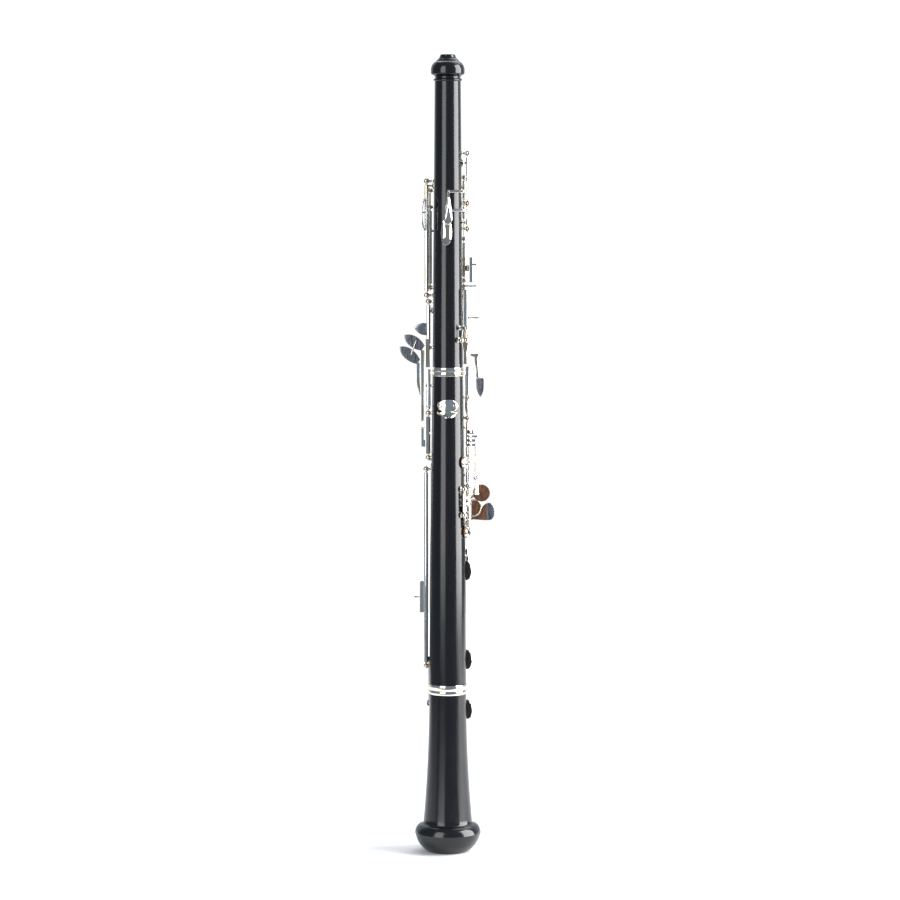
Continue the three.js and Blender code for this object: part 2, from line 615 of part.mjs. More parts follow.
function bellKey() {
  const r = RODS.bellKey;
  const tail = strip([r.at, polar(-68, r.radius + 0.1)], ARM_THICKNESS, onBell(15), onBell(10));
  return lowKey(r, onBell(35.8 - endsClear), onBell(6.6 + endsClear), BELL_HOLE, tail);
}

// -- lower stack and right little finger
function bridgeKey() {
  const r = RODS.lowerStack;
  const [x, y] = r.at;
  return key(r, below(37.5 - endsClear), below(21 + endsClear),
    strip([[x - 0.6, y + 1.0], [x - 0.6, y + 4.0]], 3.0, below(33), below(25)),
    plate(bar([x - 0.6, below(31)], [x - 0.6, onTop(4)], 3.8), y + 2.9, y + 4.3, 1));
}

function fSharpKey() {
  const r = RODS.lowerStack;
  const [x, y] = r.at;
  const outer = [x + 6.9, y - 3.6];
  const shelf = (z) => strip([[x, y], [outer[0] + 1.4, outer[1] - 0.4]], 3.0, z - 0.8, z + 0.8);
  return stackKey(r, below(60), below(37.5 + endsClear), LOW_HOLES.fSharp,
    shelf(below(53.5)), shelf(below(58.2)),
    rodAt(outer, 1.6, below(99), below(52.8)),
    rodAt(outer, 2.6, below(86.5), below(84.5)),
    rodAt(outer, 2.3, below(99), below(97.6)));
}

const forkFKey = () =>
  cupKey(RODS.lowerStack, below(80), below(60.6), LOW_HOLES.forkF, PADDED_CUP_RADIUS, 0, true);

const eKey = () => stackKey(RODS.lowerStack, below(92.5 - endsClear), below(80.6), LOW_HOLES.e);

const dKey = () =>
  stackKey(RODS.lowerStack, below(122 - endsClear), below(92.5 + endsClear), LOW_HOLES.d);

// Touches for the right little finger. An arm runs round the side, between the stack tube and the
// outer rod, to a plate that faces front. The three touches share the short rod at the back.
const TOUCH_LEVEL = 7.5; // front of the E flat and C touches
const SIDE = RODS.lowerStack.at[0] + TUBE_RADIUS + 1.6; // middle of the arms where they pass the side
const reachRight = (start, level, foot) =>
  strip([...start, [SIDE, RODS.eFlat.at[1] + 6.4], [SIDE, level]], ARM_THICKNESS, foot, foot + 2);

function rightTouch(low, high, shape, level) {
  const r = RODS.eFlat;
  const root = bar([SIDE - 0.6, low + 1.2], [SIDE + 3.4, low + 1.2], 2);
  return key(r, low, high, reachRight([r.at, [SIDE - 2.6, r.at[1] + 1.2]], level, low + 0.2),
    plate(root, level - TOUCH_THICKNESS, level, 1), plate(shape, level - TOUCH_THICKNESS, level));
}

// The E flat key has a drop-shaped touch, and a drum plate that carries its arm down past the post.
function eFlatKey() {
  const r = RODS.eFlat;
  const z = below(114.6);
  const drop = new THREE.Shape();
  drop.moveTo(SIDE - 0.6, z - 5.2);
  drop.bezierCurveTo(SIDE + 6, z - 5.4, SIDE + 12, z - 6.4, SIDE + 15.2, z - 5.6);
  drop.bezierCurveTo(SIDE + 19.2, z - 4.2, SIDE + 19.2, z + 6.0, SIDE + 14.7, z + 7.4);
  drop.bezierCurveTo(SIDE + 9.7, z + 8.0, SIDE + 5.7, z + 0.6, SIDE - 0.6, z - 2.4);
  const out = woodRadius(LOW_HOLES.eFlat[1]) + CUP_BACK - 0.4;
  const drum = [polar(115.5, r.radius + 3.1), polar(110, r.radius + 2.6), polar(103, out)];
  return key(r, below(112.1), below(107.4),
    plate(drop, TOUCH_LEVEL - TOUCH_THICKNESS, TOUCH_LEVEL),
    reachRight([drum[0]], TOUCH_LEVEL, z - 4.9),
    strip([r.at, drum[0]], ARM_THICKNESS, below(112.0), below(108.0)),
    strip(drum, ARM_THICKNESS, below(131), below(108)),
    cup(LOW_HOLES.eFlat, PADDED_CUP_RADIUS, 0, true));
}

// The C sharp touch is a disc cut off beside its arm.
function cSharpTouch() {
  const [x, radius, cutOff] = [SIDE + 2.1, 6.6, 2.7];
  const half = Math.acos(-cutOff / radius);
  const shape = new THREE.Shape();
  shape.absarc(x, below(110), radius, -half, half);
  return rightTouch(below(107), below(102.4), shape, TOUCH_LEVEL - 3.6);
}

const lowCTouch = () =>
  rightTouch(below(102), below(97.1), disc([SIDE + 7.7, below(98.4)], 6.9), TOUCH_LEVEL);

function lowCKey() {
  const r = RODS.foot;
  const [phi, z] = LOW_HOLES.lowC;
  const reach = woodRadius(z) + armLift(OPEN_LIFT);
  const over = [r.at, polar(30, reach + 0.6), polar(46, reach + 1.2)];
  const down = [polar(43, reach + 1.2), polar(50, reach + 0.5), polar(phi, reach)];
  return key(r, above(106.5 + endsClear), above(116),
    strip(over, ARM_THICKNESS, above(110), above(115)),
    strip(down, ARM_THICKNESS, z - 2, above(115)),
    cup(LOW_HOLES.lowC, LARGE_CUP_RADIUS, OPEN_LIFT, true));
}

const cSharpKey = () =>
  cupKey(RODS.foot, above(116.5), above(129 - endsClear), LOW_HOLES.cSharp, 5, 0, false);

// ---------------------------------------------------------------- thumb rest
const REST_Z = below(27);
const SCREW_SPREAD = 25; // degrees from the middle of the thumb rest to each screw
const SCREW_RADIUS = 0.85;

// An oval plate bent to the wood, a neck below it and the curved hook that rests on the thumb.
function thumbRest() {
  const half = THUMB_PLATE.height / 2;
  const inner = woodRadius(REST_Z + half) + GAP + 0.15;
  const [foot, head] = [REST_Z - half, REST_Z + half];
  const shell = ring(inner, inner + THUMB_PLATE.thickness, foot - 4, head + 1, 48);
  const oval = new THREE.Shape();
  oval.absellipse(0, REST_Z, THUMB_PLATE.width / 2, half, 0, Math.PI * 2);
  const neck = bar([0, REST_Z], [0, foot - THUMB_HOOK.sag + 1.2], 8);
  const outline = join(plate(oval, -inner - 4, -4, 10), plate(neck, -inner - 4, -4));
  const w = THUMB_HOOK.width / 2;
  const curve = [[-w, 0], [-w * 0.5, 0.75], [0, 1], [w * 0.5, 0.75], [w, 0]]
    .map(([x, depth]) => [x, foot + 0.6 - depth * THUMB_HOOK.sag]);
  const hook = wall(curve, THUMB_HOOK.thickness, -inner - THUMB_HOOK.reach, -4);
  const core = ring(0.5, inner, foot - 6, head + 6, 48);
  const screwHoles = [-1, 1].map((side) => atScrew(side,
    [[0, 5], [SCREW_RADIUS + GAP, 5], [SCREW_RADIUS + GAP, 30], [0, 30]]));
  return cut(solid(shell).intersect(outline).add(solid(hook)), core, ...screwHoles);
}

const atScrew = (side, profile) =>
  standing(turned(profile, TUBE_SIDES), 180 + side * SCREW_SPREAD, REST_Z);

function thumbScrew(side) {
  const seat = woodRadius(REST_Z) + GAP;
  const head = seat + 1.9;
  return atScrew(side, [
    [0, seat], [SCREW_RADIUS, seat], [SCREW_RADIUS, head],
    [1.6, head], [1.3, head + 0.7], [0, head + 0.8],
  ]);
}

// ---------------------------------------------------------------- assembly
const MATERIALS = {
  grenadilla: [0x24262b, 0.32, 0.0],
  silver: [0xd9dadc, 0.2, 1.0],
  steel: [0xb9bcc2, 0.26, 1.0],
  cork: [0xa8794e, 0.9, 0.0],
  brass: [0xb9975a, 0.3, 1.0],
  leather: [0xb4683c, 0.75, 0.0],
  dark_pad: [0x3c3a3a, 0.8, 0.0],
};

const oboe = new THREE.Group();
oboe.name = "oboe";

function add(name, finish, piece) {
  const mesh = asSolid(piece).getMesh();
  const geometry = new THREE.BufferGeometry();
  const positions = Float32Array.from(mesh.vertProperties);
  geometry.setAttribute("position", new THREE.BufferAttribute(positions, 3));
  geometry.setIndex(new THREE.BufferAttribute(Uint32Array.from(mesh.triVerts), 1));
  geometry.computeVertexNormals();
  const [color, roughness, metalness] = MATERIALS[finish];
  const material = new THREE.MeshStandardMaterial({ color, roughness, metalness });
  const part = new THREE.Mesh(geometry, material);
  part.name = name;
  oboe.add(part);
}

const ringAt = (radius, low, high) => ring(radius - RING_WALL + GAP, radius + RING_PROUD, low, high);

function linerTube() {
  const outer = WELL_RADIUS - GAP;
  return ring(outer - LINER_WALL, outer, TIP - WELL_DEPTH + GAP, TIP, 16);
}

add("bell", "grenadilla", bell());
add("bottom_joint", "grenadilla", bottomJoint());
add("top_joint", "grenadilla", topJoint());
add("bell_socket_ring", "silver", ringAt(WAIST_RADIUS, onBell(BELL_RING_LOWER), onBell(GAP / 2)));
add("bottom_joint_foot_ring", "silver", ringAt(WAIST_RADIUS, above(GAP / 2), above(BELL_RING_UPPER)));
add("bottom_joint_socket_ring", "silver", ringAt(MIDDLE_RADIUS, below(MIDDLE_RING), below(GAP / 2)));
add("top_joint_ring", "silver", ringAt(MIDDLE_RADIUS, onTop(GAP / 2), onTop(MIDDLE_RING)));
add("top_tenon_cork", "cork", corkRing(SEAT));
add("bottom_tenon_cork", "cork", corkRing(BELL_SEAT));
add("reed_well_liner", "brass", linerTube());
add("thumb_rest", "silver", thumbRest());
add("thumb_rest_screw_left", "steel", thumbScrew(1));
add("thumb_rest_screw_right", "steel", thumbScrew(-1));

add("octave_rod", "steel", rodSet(RODS.octave));
add("upper_stack_rod", "steel", rodSet(RODS.upperStack));
add("side_octave_rod", "steel", rodSet(RODS.sideOctave));
add("b_flat_rod", "steel", rodSet(RODS.bFlat));
add("g_sharp_rod", "steel", rodSet(RODS.gSharp));
add("lower_stack_rod", "steel", rodSet(RODS.lowerStack));
add("e_flat_rod", "steel", rodSet(RODS.eFlat));
add("foot_rod", "steel", rodSet(RODS.foot));
add("left_lever_rod", "steel", rodSet(RODS.leftLever));
add("long_left_rod", "steel", rodSet(RODS.longLeft));
add("low_b_rod", "steel", rodSet(RODS.lowB));
add("bell_key_rod", "steel", rodSet(RODS.bellKey));

add("trill_lever_pin", "steel", crossPin(TRILL, TRILL_Z));
add("trill_lever", "silver", trillLever(TRILL, TRILL_Z));
add("c_sharp_trill_key", "silver", cSharpTrillKey());
add("d_trill_key", "silver", dTrillKey());
add("half_hole_key", "silver", halfHoleKey());
add("a_key", "silver", aKey());
add("g_key", "silver", gKey());
add("first_octave_key", "silver", firstOctaveKey());
add("third_octave_key", "silver", thirdOctaveKey());
add("side_octave_key", "silver", sideOctaveKey());
add("b_flat_key", "silver", bFlatKey());
add("g_sharp_key", "silver", gSharpKey());

add("left_bridge_key", "silver", leftBridgeKey());
add("low_b_lever", "silver", lowBLever());
add("low_b_flat_lever", "silver", lowBFlatLever());
add("low_b_flat_link", "silver", lowBFlatLink());
add("low_b_key", "silver", lowBKey());
add("bell_key", "silver", bellKey());
add("right_bridge_key", "silver", bridgeKey());
add("f_sharp_key", "silver", fSharpKey());
add("fork_f_key", "silver", forkFKey());
add("e_key", "silver", eKey());
add("d_key", "silver", dKey());
add("e_flat_key", "silver", eFlatKey());
add("c_sharp_touch", "silver", cSharpTouch());
add("low_c_touch", "silver", lowCTouch());
add("low_c_key", "silver", lowCKey());
add("c_sharp_key", "silver", cSharpKey());

add("low_b_pad", "dark_pad", pad(LOW_HOLES.lowB, LARGE_CUP_RADIUS, OPEN_LIFT));
add("bell_key_pad", "dark_pad", pad(BELL_HOLE, LARGE_CUP_RADIUS, OPEN_LIFT));
add("low_c_pad", "dark_pad", pad(LOW_HOLES.lowC, LARGE_CUP_RADIUS, OPEN_LIFT));
add("fork_f_pad", "leather", pad(LOW_HOLES.forkF, PADDED_CUP_RADIUS, 0));
add("e_flat_pad", "leather", pad(LOW_HOLES.eFlat, PADDED_CUP_RADIUS, 0));

export default oboe;
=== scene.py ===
# %% [markdown]
# # An oboe standing on its bell
# Three turned joints of grenadilla carry silver-plated keys on steel rods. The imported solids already
# hold every piece in its true place, but in flat facets. Each cell below replaces some of them with
# smooth surfaces worked out on grids, in the same frame, so the keys still turn on their own rods.
# %% Load the frame
import json
import math

import bmesh
import bpy
import numpy as np
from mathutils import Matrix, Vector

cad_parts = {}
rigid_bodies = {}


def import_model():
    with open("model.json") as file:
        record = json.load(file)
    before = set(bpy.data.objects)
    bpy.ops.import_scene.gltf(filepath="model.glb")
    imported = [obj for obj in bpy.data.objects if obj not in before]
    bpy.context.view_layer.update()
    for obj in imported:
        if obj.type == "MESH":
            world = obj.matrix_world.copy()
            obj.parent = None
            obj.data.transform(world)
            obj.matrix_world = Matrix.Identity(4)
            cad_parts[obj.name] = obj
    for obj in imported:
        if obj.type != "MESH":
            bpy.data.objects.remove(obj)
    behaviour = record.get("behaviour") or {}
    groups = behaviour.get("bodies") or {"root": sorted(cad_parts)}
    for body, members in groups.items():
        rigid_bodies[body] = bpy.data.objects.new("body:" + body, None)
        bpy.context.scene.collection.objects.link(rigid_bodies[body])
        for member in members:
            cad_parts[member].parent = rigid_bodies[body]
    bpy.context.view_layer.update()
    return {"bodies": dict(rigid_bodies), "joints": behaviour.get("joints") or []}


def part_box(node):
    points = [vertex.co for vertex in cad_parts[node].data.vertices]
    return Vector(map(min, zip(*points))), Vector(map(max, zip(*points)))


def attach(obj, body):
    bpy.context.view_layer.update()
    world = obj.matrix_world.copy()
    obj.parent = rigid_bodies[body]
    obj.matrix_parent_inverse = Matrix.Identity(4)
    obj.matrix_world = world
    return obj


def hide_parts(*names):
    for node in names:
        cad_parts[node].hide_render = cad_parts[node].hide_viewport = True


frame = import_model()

# %% [markdown]
# ## Places
# Heights are measured from the two shoulders where the joints meet, as a maker does. The shoulders
# come from the rings' boxes and each hinge line from its joint, so nothing here has to be fitted.
# %% Shoulders, tip and hinge lines
MM = 0.001
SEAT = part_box("top_joint_ring")[0].z / MM - 0.15
BELL_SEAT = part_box("bottom_joint_foot_ring")[0].z / MM - 0.15
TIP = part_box("top_joint")[1].z / MM


def onTop(rise):
    """A height on the top joint, by its rise over the middle shoulder."""
    return SEAT + rise


def below(drop):
    """A height on the bottom joint, by its drop under the middle shoulder."""
    return SEAT - drop


def above(rise):
    """A height on the bottom joint, by its rise over the bell's shoulder."""
    return BELL_SEAT + rise


def onBell(drop):
    """A height on the bell, by its drop under its shoulder."""
    return BELL_SEAT - drop


HINGE = {j["child"]: np.array(j["pos_m"]) / MM for j in frame["joints"] if j["type"] == "hinge"}
print("shoulders", round(BELL_SEAT, 2), round(SEAT, 2), "tip", round(TIP, 2), "hinges", len(HINGE))


# %% [markdown]
# ## The wood's outline
# The body is a long slow cone that flares at the bell. One function gives its radius at any height,
# and everything that sits on the wood asks it where the wood is.
# %% Radius of the wood
FOOT_RADIUS, MIDDLE_RADIUS, NECK_RADIUS = 15.0, 12.2, 10.4
FLARE, FLARE_STEP = 0.85, 45
WOOD_LINE = np.array([
    [BELL_SEAT, FOOT_RADIUS], [BELL_SEAT + 112, 14.15], [SEAT - 79, 13.2], [SEAT, MIDDLE_RADIUS],
    [TIP - 21, NECK_RADIUS],
])


def wood_radius(z):
    """Straight lines between the turned sizes. Under the bell's ring the radius grows with the
    square of the drop."""
    z = np.asarray(z, float)
    flare = FOOT_RADIUS + ((BELL_SEAT - z) / FLARE_STEP) ** 2 * FLARE
    return np.where(z <= BELL_SEAT, flare, np.interp(z, WOOD_LINE[:, 0], WOOD_LINE[:, 1]))


def polar(phi, radius):
    """Point at angle phi degrees from the front (+Y) towards the right (+X)."""
    a = np.radians(phi)
    return np.array([radius * np.sin(a), radius * np.cos(a)])


# %% [markdown]
# ## A small kit of surfaces
# Everything on an oboe is turned on a lathe, bent from a strip, or cast as a thin plate. Each is a grid
# of points in two parameters, and a shell is its points with its faces.
# %% Grid to shell
def shell(P, closed=False):
    """Rings of points P[ring, around]: neighbours are joined by quads. A closed run joins its last
    ring to its first, and an open one gets a flat face at each end."""
    n, m, _ = P.shape
    i = np.arange(n if closed else n - 1)[:, None]
    j = np.arange(m)[None, :]
    a, b = i * m + j, i * m + (j + 1) % m
    up = (i + 1) % n * m
    faces = np.stack(np.broadcast_arrays(a, b, up + (j + 1) % m, up + j), -1).reshape(-1, 4).tolist()
    if not closed:
        faces += [list(range(m))[::-1], list(range((n - 1) * m, n * m))]
    return P.reshape(-1, 3), faces


def rounded(points, cut, steps=4):
    """A broken line whose corners become quadratic curves. Each starts cut before the corner and ends
    cut after it, or halfway along the side if that is nearer."""
    p = np.asarray(points, float)
    back, on = p[:-2] - p[1:-1], p[2:] - p[1:-1]
    lb, lo = np.linalg.norm(back, axis=1), np.linalg.norm(on, axis=1)
    c = np.broadcast_to(np.asarray(cut, float), lb.shape)
    start = p[1:-1] + back / lb[:, None] * np.minimum(c, lb * 0.49)[:, None]
    end = p[1:-1] + on / lo[:, None] * np.minimum(c, lo * 0.49)[:, None]
    t = np.linspace(0, 1, steps + 1)[None, :, None]
    curve = (1 - t) ** 2 * start[:, None] + 2 * t * (1 - t) * p[1:-1, None] + t**2 * end[:, None]
    return np.vstack([p[:1], curve.reshape(-1, p.shape[1]), p[-1:]])


def lathe(profile, sides=32, at=(0, 0, 0), axis=(0, 0, 1), closed=False):
    """Turns [radius, height] pairs about an axis through a point: the angle runs round, the pair along."""
    r, h = np.asarray(profile, float).T
    k = np.asarray(axis, float) / np.linalg.norm(axis)
    e1 = np.cross(k, [0, 0, 1]) if abs(k[2]) < 0.9 else np.array([1.0, 0, 0])
    e1 = e1 / np.linalg.norm(e1)
    e2 = np.cross(k, e1)
    a = np.linspace(0, 2 * np.pi, sides, endpoint=False)
    round_ = np.cos(a)[:, None] * e1 + np.sin(a)[:, None] * e2
    P = np.asarray(at, float) + r[:, None, None] * round_[None] + h[:, None, None] * k
    return shell(P, closed)


# %% Swept bars and plates
def along(path, step):
    """The same line with points about step apart, by straight interpolation over its length."""
    p = np.asarray(path, float)
    d = np.r_[0, np.cumsum(np.linalg.norm(np.diff(p, axis=0), axis=1))]
    s = np.linspace(0, d[-1], max(int(d[-1] / step), 6) + 1)
    return np.stack([np.interp(s, d, p[:, k]) for k in range(3)], 1), s


def bar(path, width, depth, up=None, ends=0.8, bend=2.0, square=3.0, around=20, step=0.9):
    """A bar along a path. Its section is a superellipse, width across and depth towards up, which
    is away from the bore unless given. Width and depth may change evenly along it. The ends close
    as quarter ellipses."""
    p, s = along(rounded(path, bend) if len(path) > 2 else path, step)
    near = np.array([0.0, 0.1, 0.3, 0.6, 1.0]) * ends
    s2 = np.unique(np.r_[near, s[(s > ends) & (s < s[-1] - ends)], s[-1] - near])
    p = np.stack([np.interp(s2, s, p[:, k]) for k in range(3)], 1)
    t = np.gradient(p, s2, axis=0)
    t /= np.linalg.norm(t, axis=1)[:, None]
    if up is None:
        u = np.c_[p[:, :2], np.zeros(len(p))]
    else:
        u = np.broadcast_to(np.asarray(up, float), p.shape)
    side = np.cross(t, u)
    side /= np.linalg.norm(side, axis=1)[:, None]
    u = np.cross(side, t)
    edge = np.minimum(s2, s2[-1] - s2) / ends
    shrink = np.where(edge < 1, np.sqrt(np.clip(1 - (1 - edge) ** 2, 0.0004, 1)), 1)
    w, d = [np.interp(s2, np.linspace(0, s2[-1], len(np.atleast_1d(v))), np.atleast_1d(v)) / 2 * shrink
            for v in (width, depth)]
    a = np.linspace(0, 2 * np.pi, around, endpoint=False)
    cx, sx = [np.sign(f) * np.abs(f) ** (2 / square) for f in (np.cos(a), np.sin(a))]
    P = p[:, None] + side[:, None] * (w[:, None] * cx)[..., None]
    return shell(P + u[:, None] * (d[:, None] * sx)[..., None])


# %% Outlines of plates
def cubic(p0, p1, p2, p3, count=26):
    """A cubic curve from p0 to p3. It leaves towards p1 and arrives from p2."""
    t = np.linspace(0, 1, count)[:, None]
    p0, p1, p2, p3 = (np.array(p, float) for p in (p0, p1, p2, p3))
    return (1 - t) ** 3 * p0 + 3 * t * (1 - t) ** 2 * p1 + 3 * t**2 * (1 - t) * p2 + t**3 * p3


def leaf_line(root, tip, root_width, width, near=(0.35, 0.62), far=(0.9, 0.62)):
    """Outline of a leaf from root to tip: one cubic curve on each side. near and far are the
    curve's inner control points, as shares of the length and of the width."""
    root, tip = np.asarray(root, float), np.asarray(tip, float)
    ax = tip - root
    L = np.linalg.norm(ax)
    ax = ax / L
    ay = np.array([-ax[1], ax[0]])
    side = cubic([0, -root_width / 2], [near[0] * L, -near[1] * width], [far[0] * L, -far[1] * width],
                 [L, 0], 25)
    other = side[::-1][1:] * [1, -1]
    base = np.linspace(other[-1], side[0], 6)[1:-1]
    uv = np.vstack([side, other, base])
    return root + uv[:, :1] * ax + uv[:, 1:] * ay


def disc_line(centre, radius):
    """A circle as an outline."""
    a = np.linspace(0, 2 * np.pi, 48, endpoint=False)
    return np.asarray(centre, float) + radius * np.stack([np.cos(a), np.sin(a)], 1)


def leaf_plate(outline, back, front, crown=0.0, lip=0.35):
    """A thin plate between two levels. Rings step in from the outline along the line to its middle:
    the edge is a half ellipse lip deep, and the front rises by crown at the middle, or is dished
    where crown is negative."""
    o = np.asarray(outline, float)
    c = (o.max(0) + o.min(0)) / 2
    r = np.linalg.norm(o - c, axis=1)[:, None]
    T = front - back
    a = np.linspace(-np.pi / 2, np.pi / 2, 7)
    inset = lip * (1 - np.cos(a))
    rise = T / 2 + T / 2 * np.sin(a)
    rim = [c + (o - c) * np.clip(1 - i / r, 0.02, 1) for i in inset]
    shares = (0.93, 0.82, 0.65, 0.45, 0.22, 0.02)
    inner = [c + (rim[-1] - c) * s for s in shares]
    top = [front + crown * (1 - s**2) for s in shares]
    under = [c + (rim[0] - c) * s for s in (0.02, 0.6)]
    rings = under + rim + inner
    level = [back, back, *(back + rise), *top]
    P = [np.c_[ring[:, 0], np.full(len(ring), y), ring[:, 1]] for ring, y in zip(rings, level)]
    return shell(np.stack(P))


# %% Making a piece
def make(name, shells, body, nodes=(), finish=None, crease=38):
    """Puts shells into one mesh in metres, joins doubled points, turns faces outward, and shades it
    smooth except along edges sharper than crease degrees."""
    verts, faces, start = [], [], 0
    for v, f in shells:
        verts.append(v)
        faces += [[i + start for i in face] for face in f]
        start += len(v)
    mesh = bpy.data.meshes.new(name)
    mesh.from_pydata((np.vstack(verts) * MM).tolist(), [], faces)
    bm = bmesh.new()
    bm.from_mesh(mesh)
    bmesh.ops.remove_doubles(bm, verts=bm.verts, dist=2e-7)
    bmesh.ops.recalc_face_normals(bm, faces=bm.faces)
    bm.to_mesh(mesh)
    bm.free()
    mesh.shade_smooth()
    mesh.set_sharp_from_angle(angle=math.radians(crease))
    piece = bpy.data.objects.new(name, mesh)
    bpy.context.scene.collection.objects.link(piece)
    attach(piece, body)
    if nodes:
        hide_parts(*nodes)
    if finish is not None:
        mesh.materials.append(finish[0])
    return piece


# %% [markdown]
# ## Finishes
# Grenadilla is nearly black, dense enough to take a soft polish, with fine lighter lines along the grain.
# Silver plate is bright, but handling leaves it with a faint warm tarnish, and no plated surface is evenly
# smooth. The flat leaves are brushed to a darker grey, and the right touches are an even brown with a fine
# grain.
# Each finish is built from noise on object coordinates, so the pattern stays with its piece.
# %% Material helper
def finish(name, slot, base, rough, metal=0.0):
    """A principled material with even values, and the slot that it belongs to. The helpers below
    link textures into it."""
    m = bpy.data.materials.new(name)
    m.use_nodes = True
    tree = m.node_tree
    shader = tree.nodes["Principled BSDF"]
    shader.inputs["Base Color"].default_value = (*base, 1)
    shader.inputs["Roughness"].default_value = rough
    shader.inputs["Metallic"].default_value = metal
    return m, slot


def noise(m, scale, stretch=(1, 1, 1), detail=4.0, rough=0.55):
    """Noise in object space. The Mapping node stretches it, so grain can run along the bore."""
    nodes, links = m.node_tree.nodes, m.node_tree.links
    place = nodes.new("ShaderNodeTexCoord")
    turn = nodes.new("ShaderNodeMapping")
    turn.inputs["Scale"].default_value = stretch
    tex = nodes.new("ShaderNodeTexNoise")
    tex.inputs["Scale"].default_value = scale
    tex.inputs["Detail"].default_value = detail
    tex.inputs["Roughness"].default_value = rough
    links.new(place.outputs["Object"], turn.inputs["Vector"])
    links.new(turn.outputs["Vector"], tex.inputs["Vector"])
    return tex.outputs["Fac"]


def ramp(m, value, stops, socket):
    """Carries a value through colour stops into a socket of the shader."""
    node = m.node_tree.nodes.new("ShaderNodeValToRGB")
    first, last = node.color_ramp.elements
    for end, (p, c) in ((first, stops[0]), (last, stops[-1])):
        end.position, end.color = p, (*c, 1)
    for p, c in stops[1:-1]:
        node.color_ramp.elements.new(p).color = (*c, 1)
    m.node_tree.links.new(value, node.inputs["Fac"])
    m.node_tree.links.new(node.outputs["Color"], m.node_tree.nodes["Principled BSDF"].inputs[socket])


def span(m, value, low, high, socket):
    """Maps a value from 0.3-0.7 onto low-high and puts it into a socket."""
    node = m.node_tree.nodes.new("ShaderNodeMapRange")
    node.inputs["From Min"].default_value, node.inputs["From Max"].default_value = 0.3, 0.7
    node.inputs["To Min"].default_value, node.inputs["To Max"].default_value = low, high
    m.node_tree.links.new(value, node.inputs["Value"])
    m.node_tree.links.new(node.outputs["Result"], m.node_tree.nodes["Principled BSDF"].inputs[socket])


def bump(m, value, strength, distance):
    """Raises the surface with a value, distance metres deep."""
    node = m.node_tree.nodes.new("ShaderNodeBump")
    node.inputs["Strength"].default_value = strength
    node.inputs["Distance"].default_value = distance
    m.node_tree.links.new(value, node.inputs["Height"])
    m.node_tree.links.new(node.outputs["Normal"], m.node_tree.nodes["Principled BSDF"].inputs["Normal"])


# %% Wood
WOOD = finish("grenadilla", "grenadilla", (0.012, 0.012, 0.014), 0.2)
grain = noise(WOOD[0], 900, (1, 1, 0.035), 6.0, 0.65)
ramp(WOOD[0], grain,
     [(0.3, (0.004, 0.004, 0.0055)), (0.55, (0.007, 0.007, 0.009)), (0.75, (0.015, 0.012, 0.011))],
     "Base Color")
span(WOOD[0], noise(WOOD[0], 2600, (1, 1, 0.02), 3.0), 0.12, 0.2, "Roughness")
bump(WOOD[0], grain, 0.12, 0.00003)

# %% Metals
SILVER = finish("silver_plate", "silver", (0.9, 0.89, 0.87), 0.12, 1.0)
ramp(SILVER[0], noise(SILVER[0], 90, (1, 1, 0.5), 3.0),
     [(0.34, (0.93, 0.93, 0.93)), (0.5, (0.9, 0.86, 0.79)), (0.64, (0.8, 0.68, 0.53))], "Base Color")
span(SILVER[0], noise(SILVER[0], 420, (1, 1, 1), 5.0), 0.035, 0.1, "Roughness")
bump(SILVER[0], noise(SILVER[0], 240, (1, 1, 1), 2.0), 0.06, 0.00004)

STEEL = finish("rod_steel", "steel", (0.62, 0.62, 0.63), 0.22, 1.0)
ramp(STEEL[0], noise(STEEL[0], 160, (1, 1, 0.4), 3.0),
     [(0.32, (0.8, 0.79, 0.77)), (0.5, (0.72, 0.66, 0.57)), (0.68, (0.6, 0.48, 0.35))], "Base Color")
span(STEEL[0], noise(STEEL[0], 1500, (1, 1, 0.1), 3.0), 0.06, 0.16, "Roughness")

BRUSHED = finish("brushed_plate", "silver", (0.26, 0.27, 0.29), 0.3, 1.0)
strokes = noise(BRUSHED[0], 1100, (1, 1, 0.12), 5.0, 0.7)
ramp(BRUSHED[0], strokes,
     [(0.3, (0.17, 0.17, 0.18)), (0.5, (0.3, 0.31, 0.33)), (0.72, (0.48, 0.49, 0.51))], "Base Color")
span(BRUSHED[0], strokes, 0.2, 0.36, "Roughness")
bump(BRUSHED[0], strokes, 0.25, 0.00004)

# The right touches and the inner face of the E flat touch are an even brown, streaked darker and lighter by a
# fine grain that also raises them.
BROWN_TOUCH = finish("brown_grained_touch", "silver", (0.125, 0.055, 0.03), 0.38, 0.25)
strokes = noise(BROWN_TOUCH[0], 950, (1, 1, 0.25), 6.0, 0.7)
ramp(BROWN_TOUCH[0], strokes,
     [(0.32, (0.05, 0.022, 0.013)), (0.5, (0.13, 0.056, 0.03)), (0.7, (0.25, 0.12, 0.065))], "Base Color")
bump(BROWN_TOUCH[0], strokes, 0.3, 0.00005)

BRASS = finish("liner_brass", "brass", (0.72, 0.56, 0.32), 0.28, 1.0)
ramp(BRASS[0], noise(BRASS[0], 300, (1, 1, 0.3), 3.0),
     [(0.3, (0.76, 0.6, 0.36)), (0.7, (0.55, 0.4, 0.22))], "Base Color")

# %% Cork and leather
CORK = finish("tenon_cork", "cork", (0.5, 0.33, 0.19), 0.85)
speck = noise(CORK[0], 700, (1, 1, 1), 6.0, 0.7)
ramp(CORK[0], speck,
     [(0.35, (0.2, 0.11, 0.06)), (0.5, (0.5, 0.33, 0.19)), (0.72, (0.62, 0.44, 0.28))], "Base Color")
bump(CORK[0], speck, 0.5, 0.0001)


def leather(name, slot, base, rough, dark, light):
    """Two tones of one skin, mixed by a fine grain that also raises it."""
    look = finish(name, slot, base, rough)
    skin = noise(look[0], 1300, (1, 1, 1), 5.0, 0.6)
    ramp(look[0], skin, [(0.3, dark), (0.7, light)], "Base Color")
    bump(look[0], skin, 0.35, 0.00006)
    return look


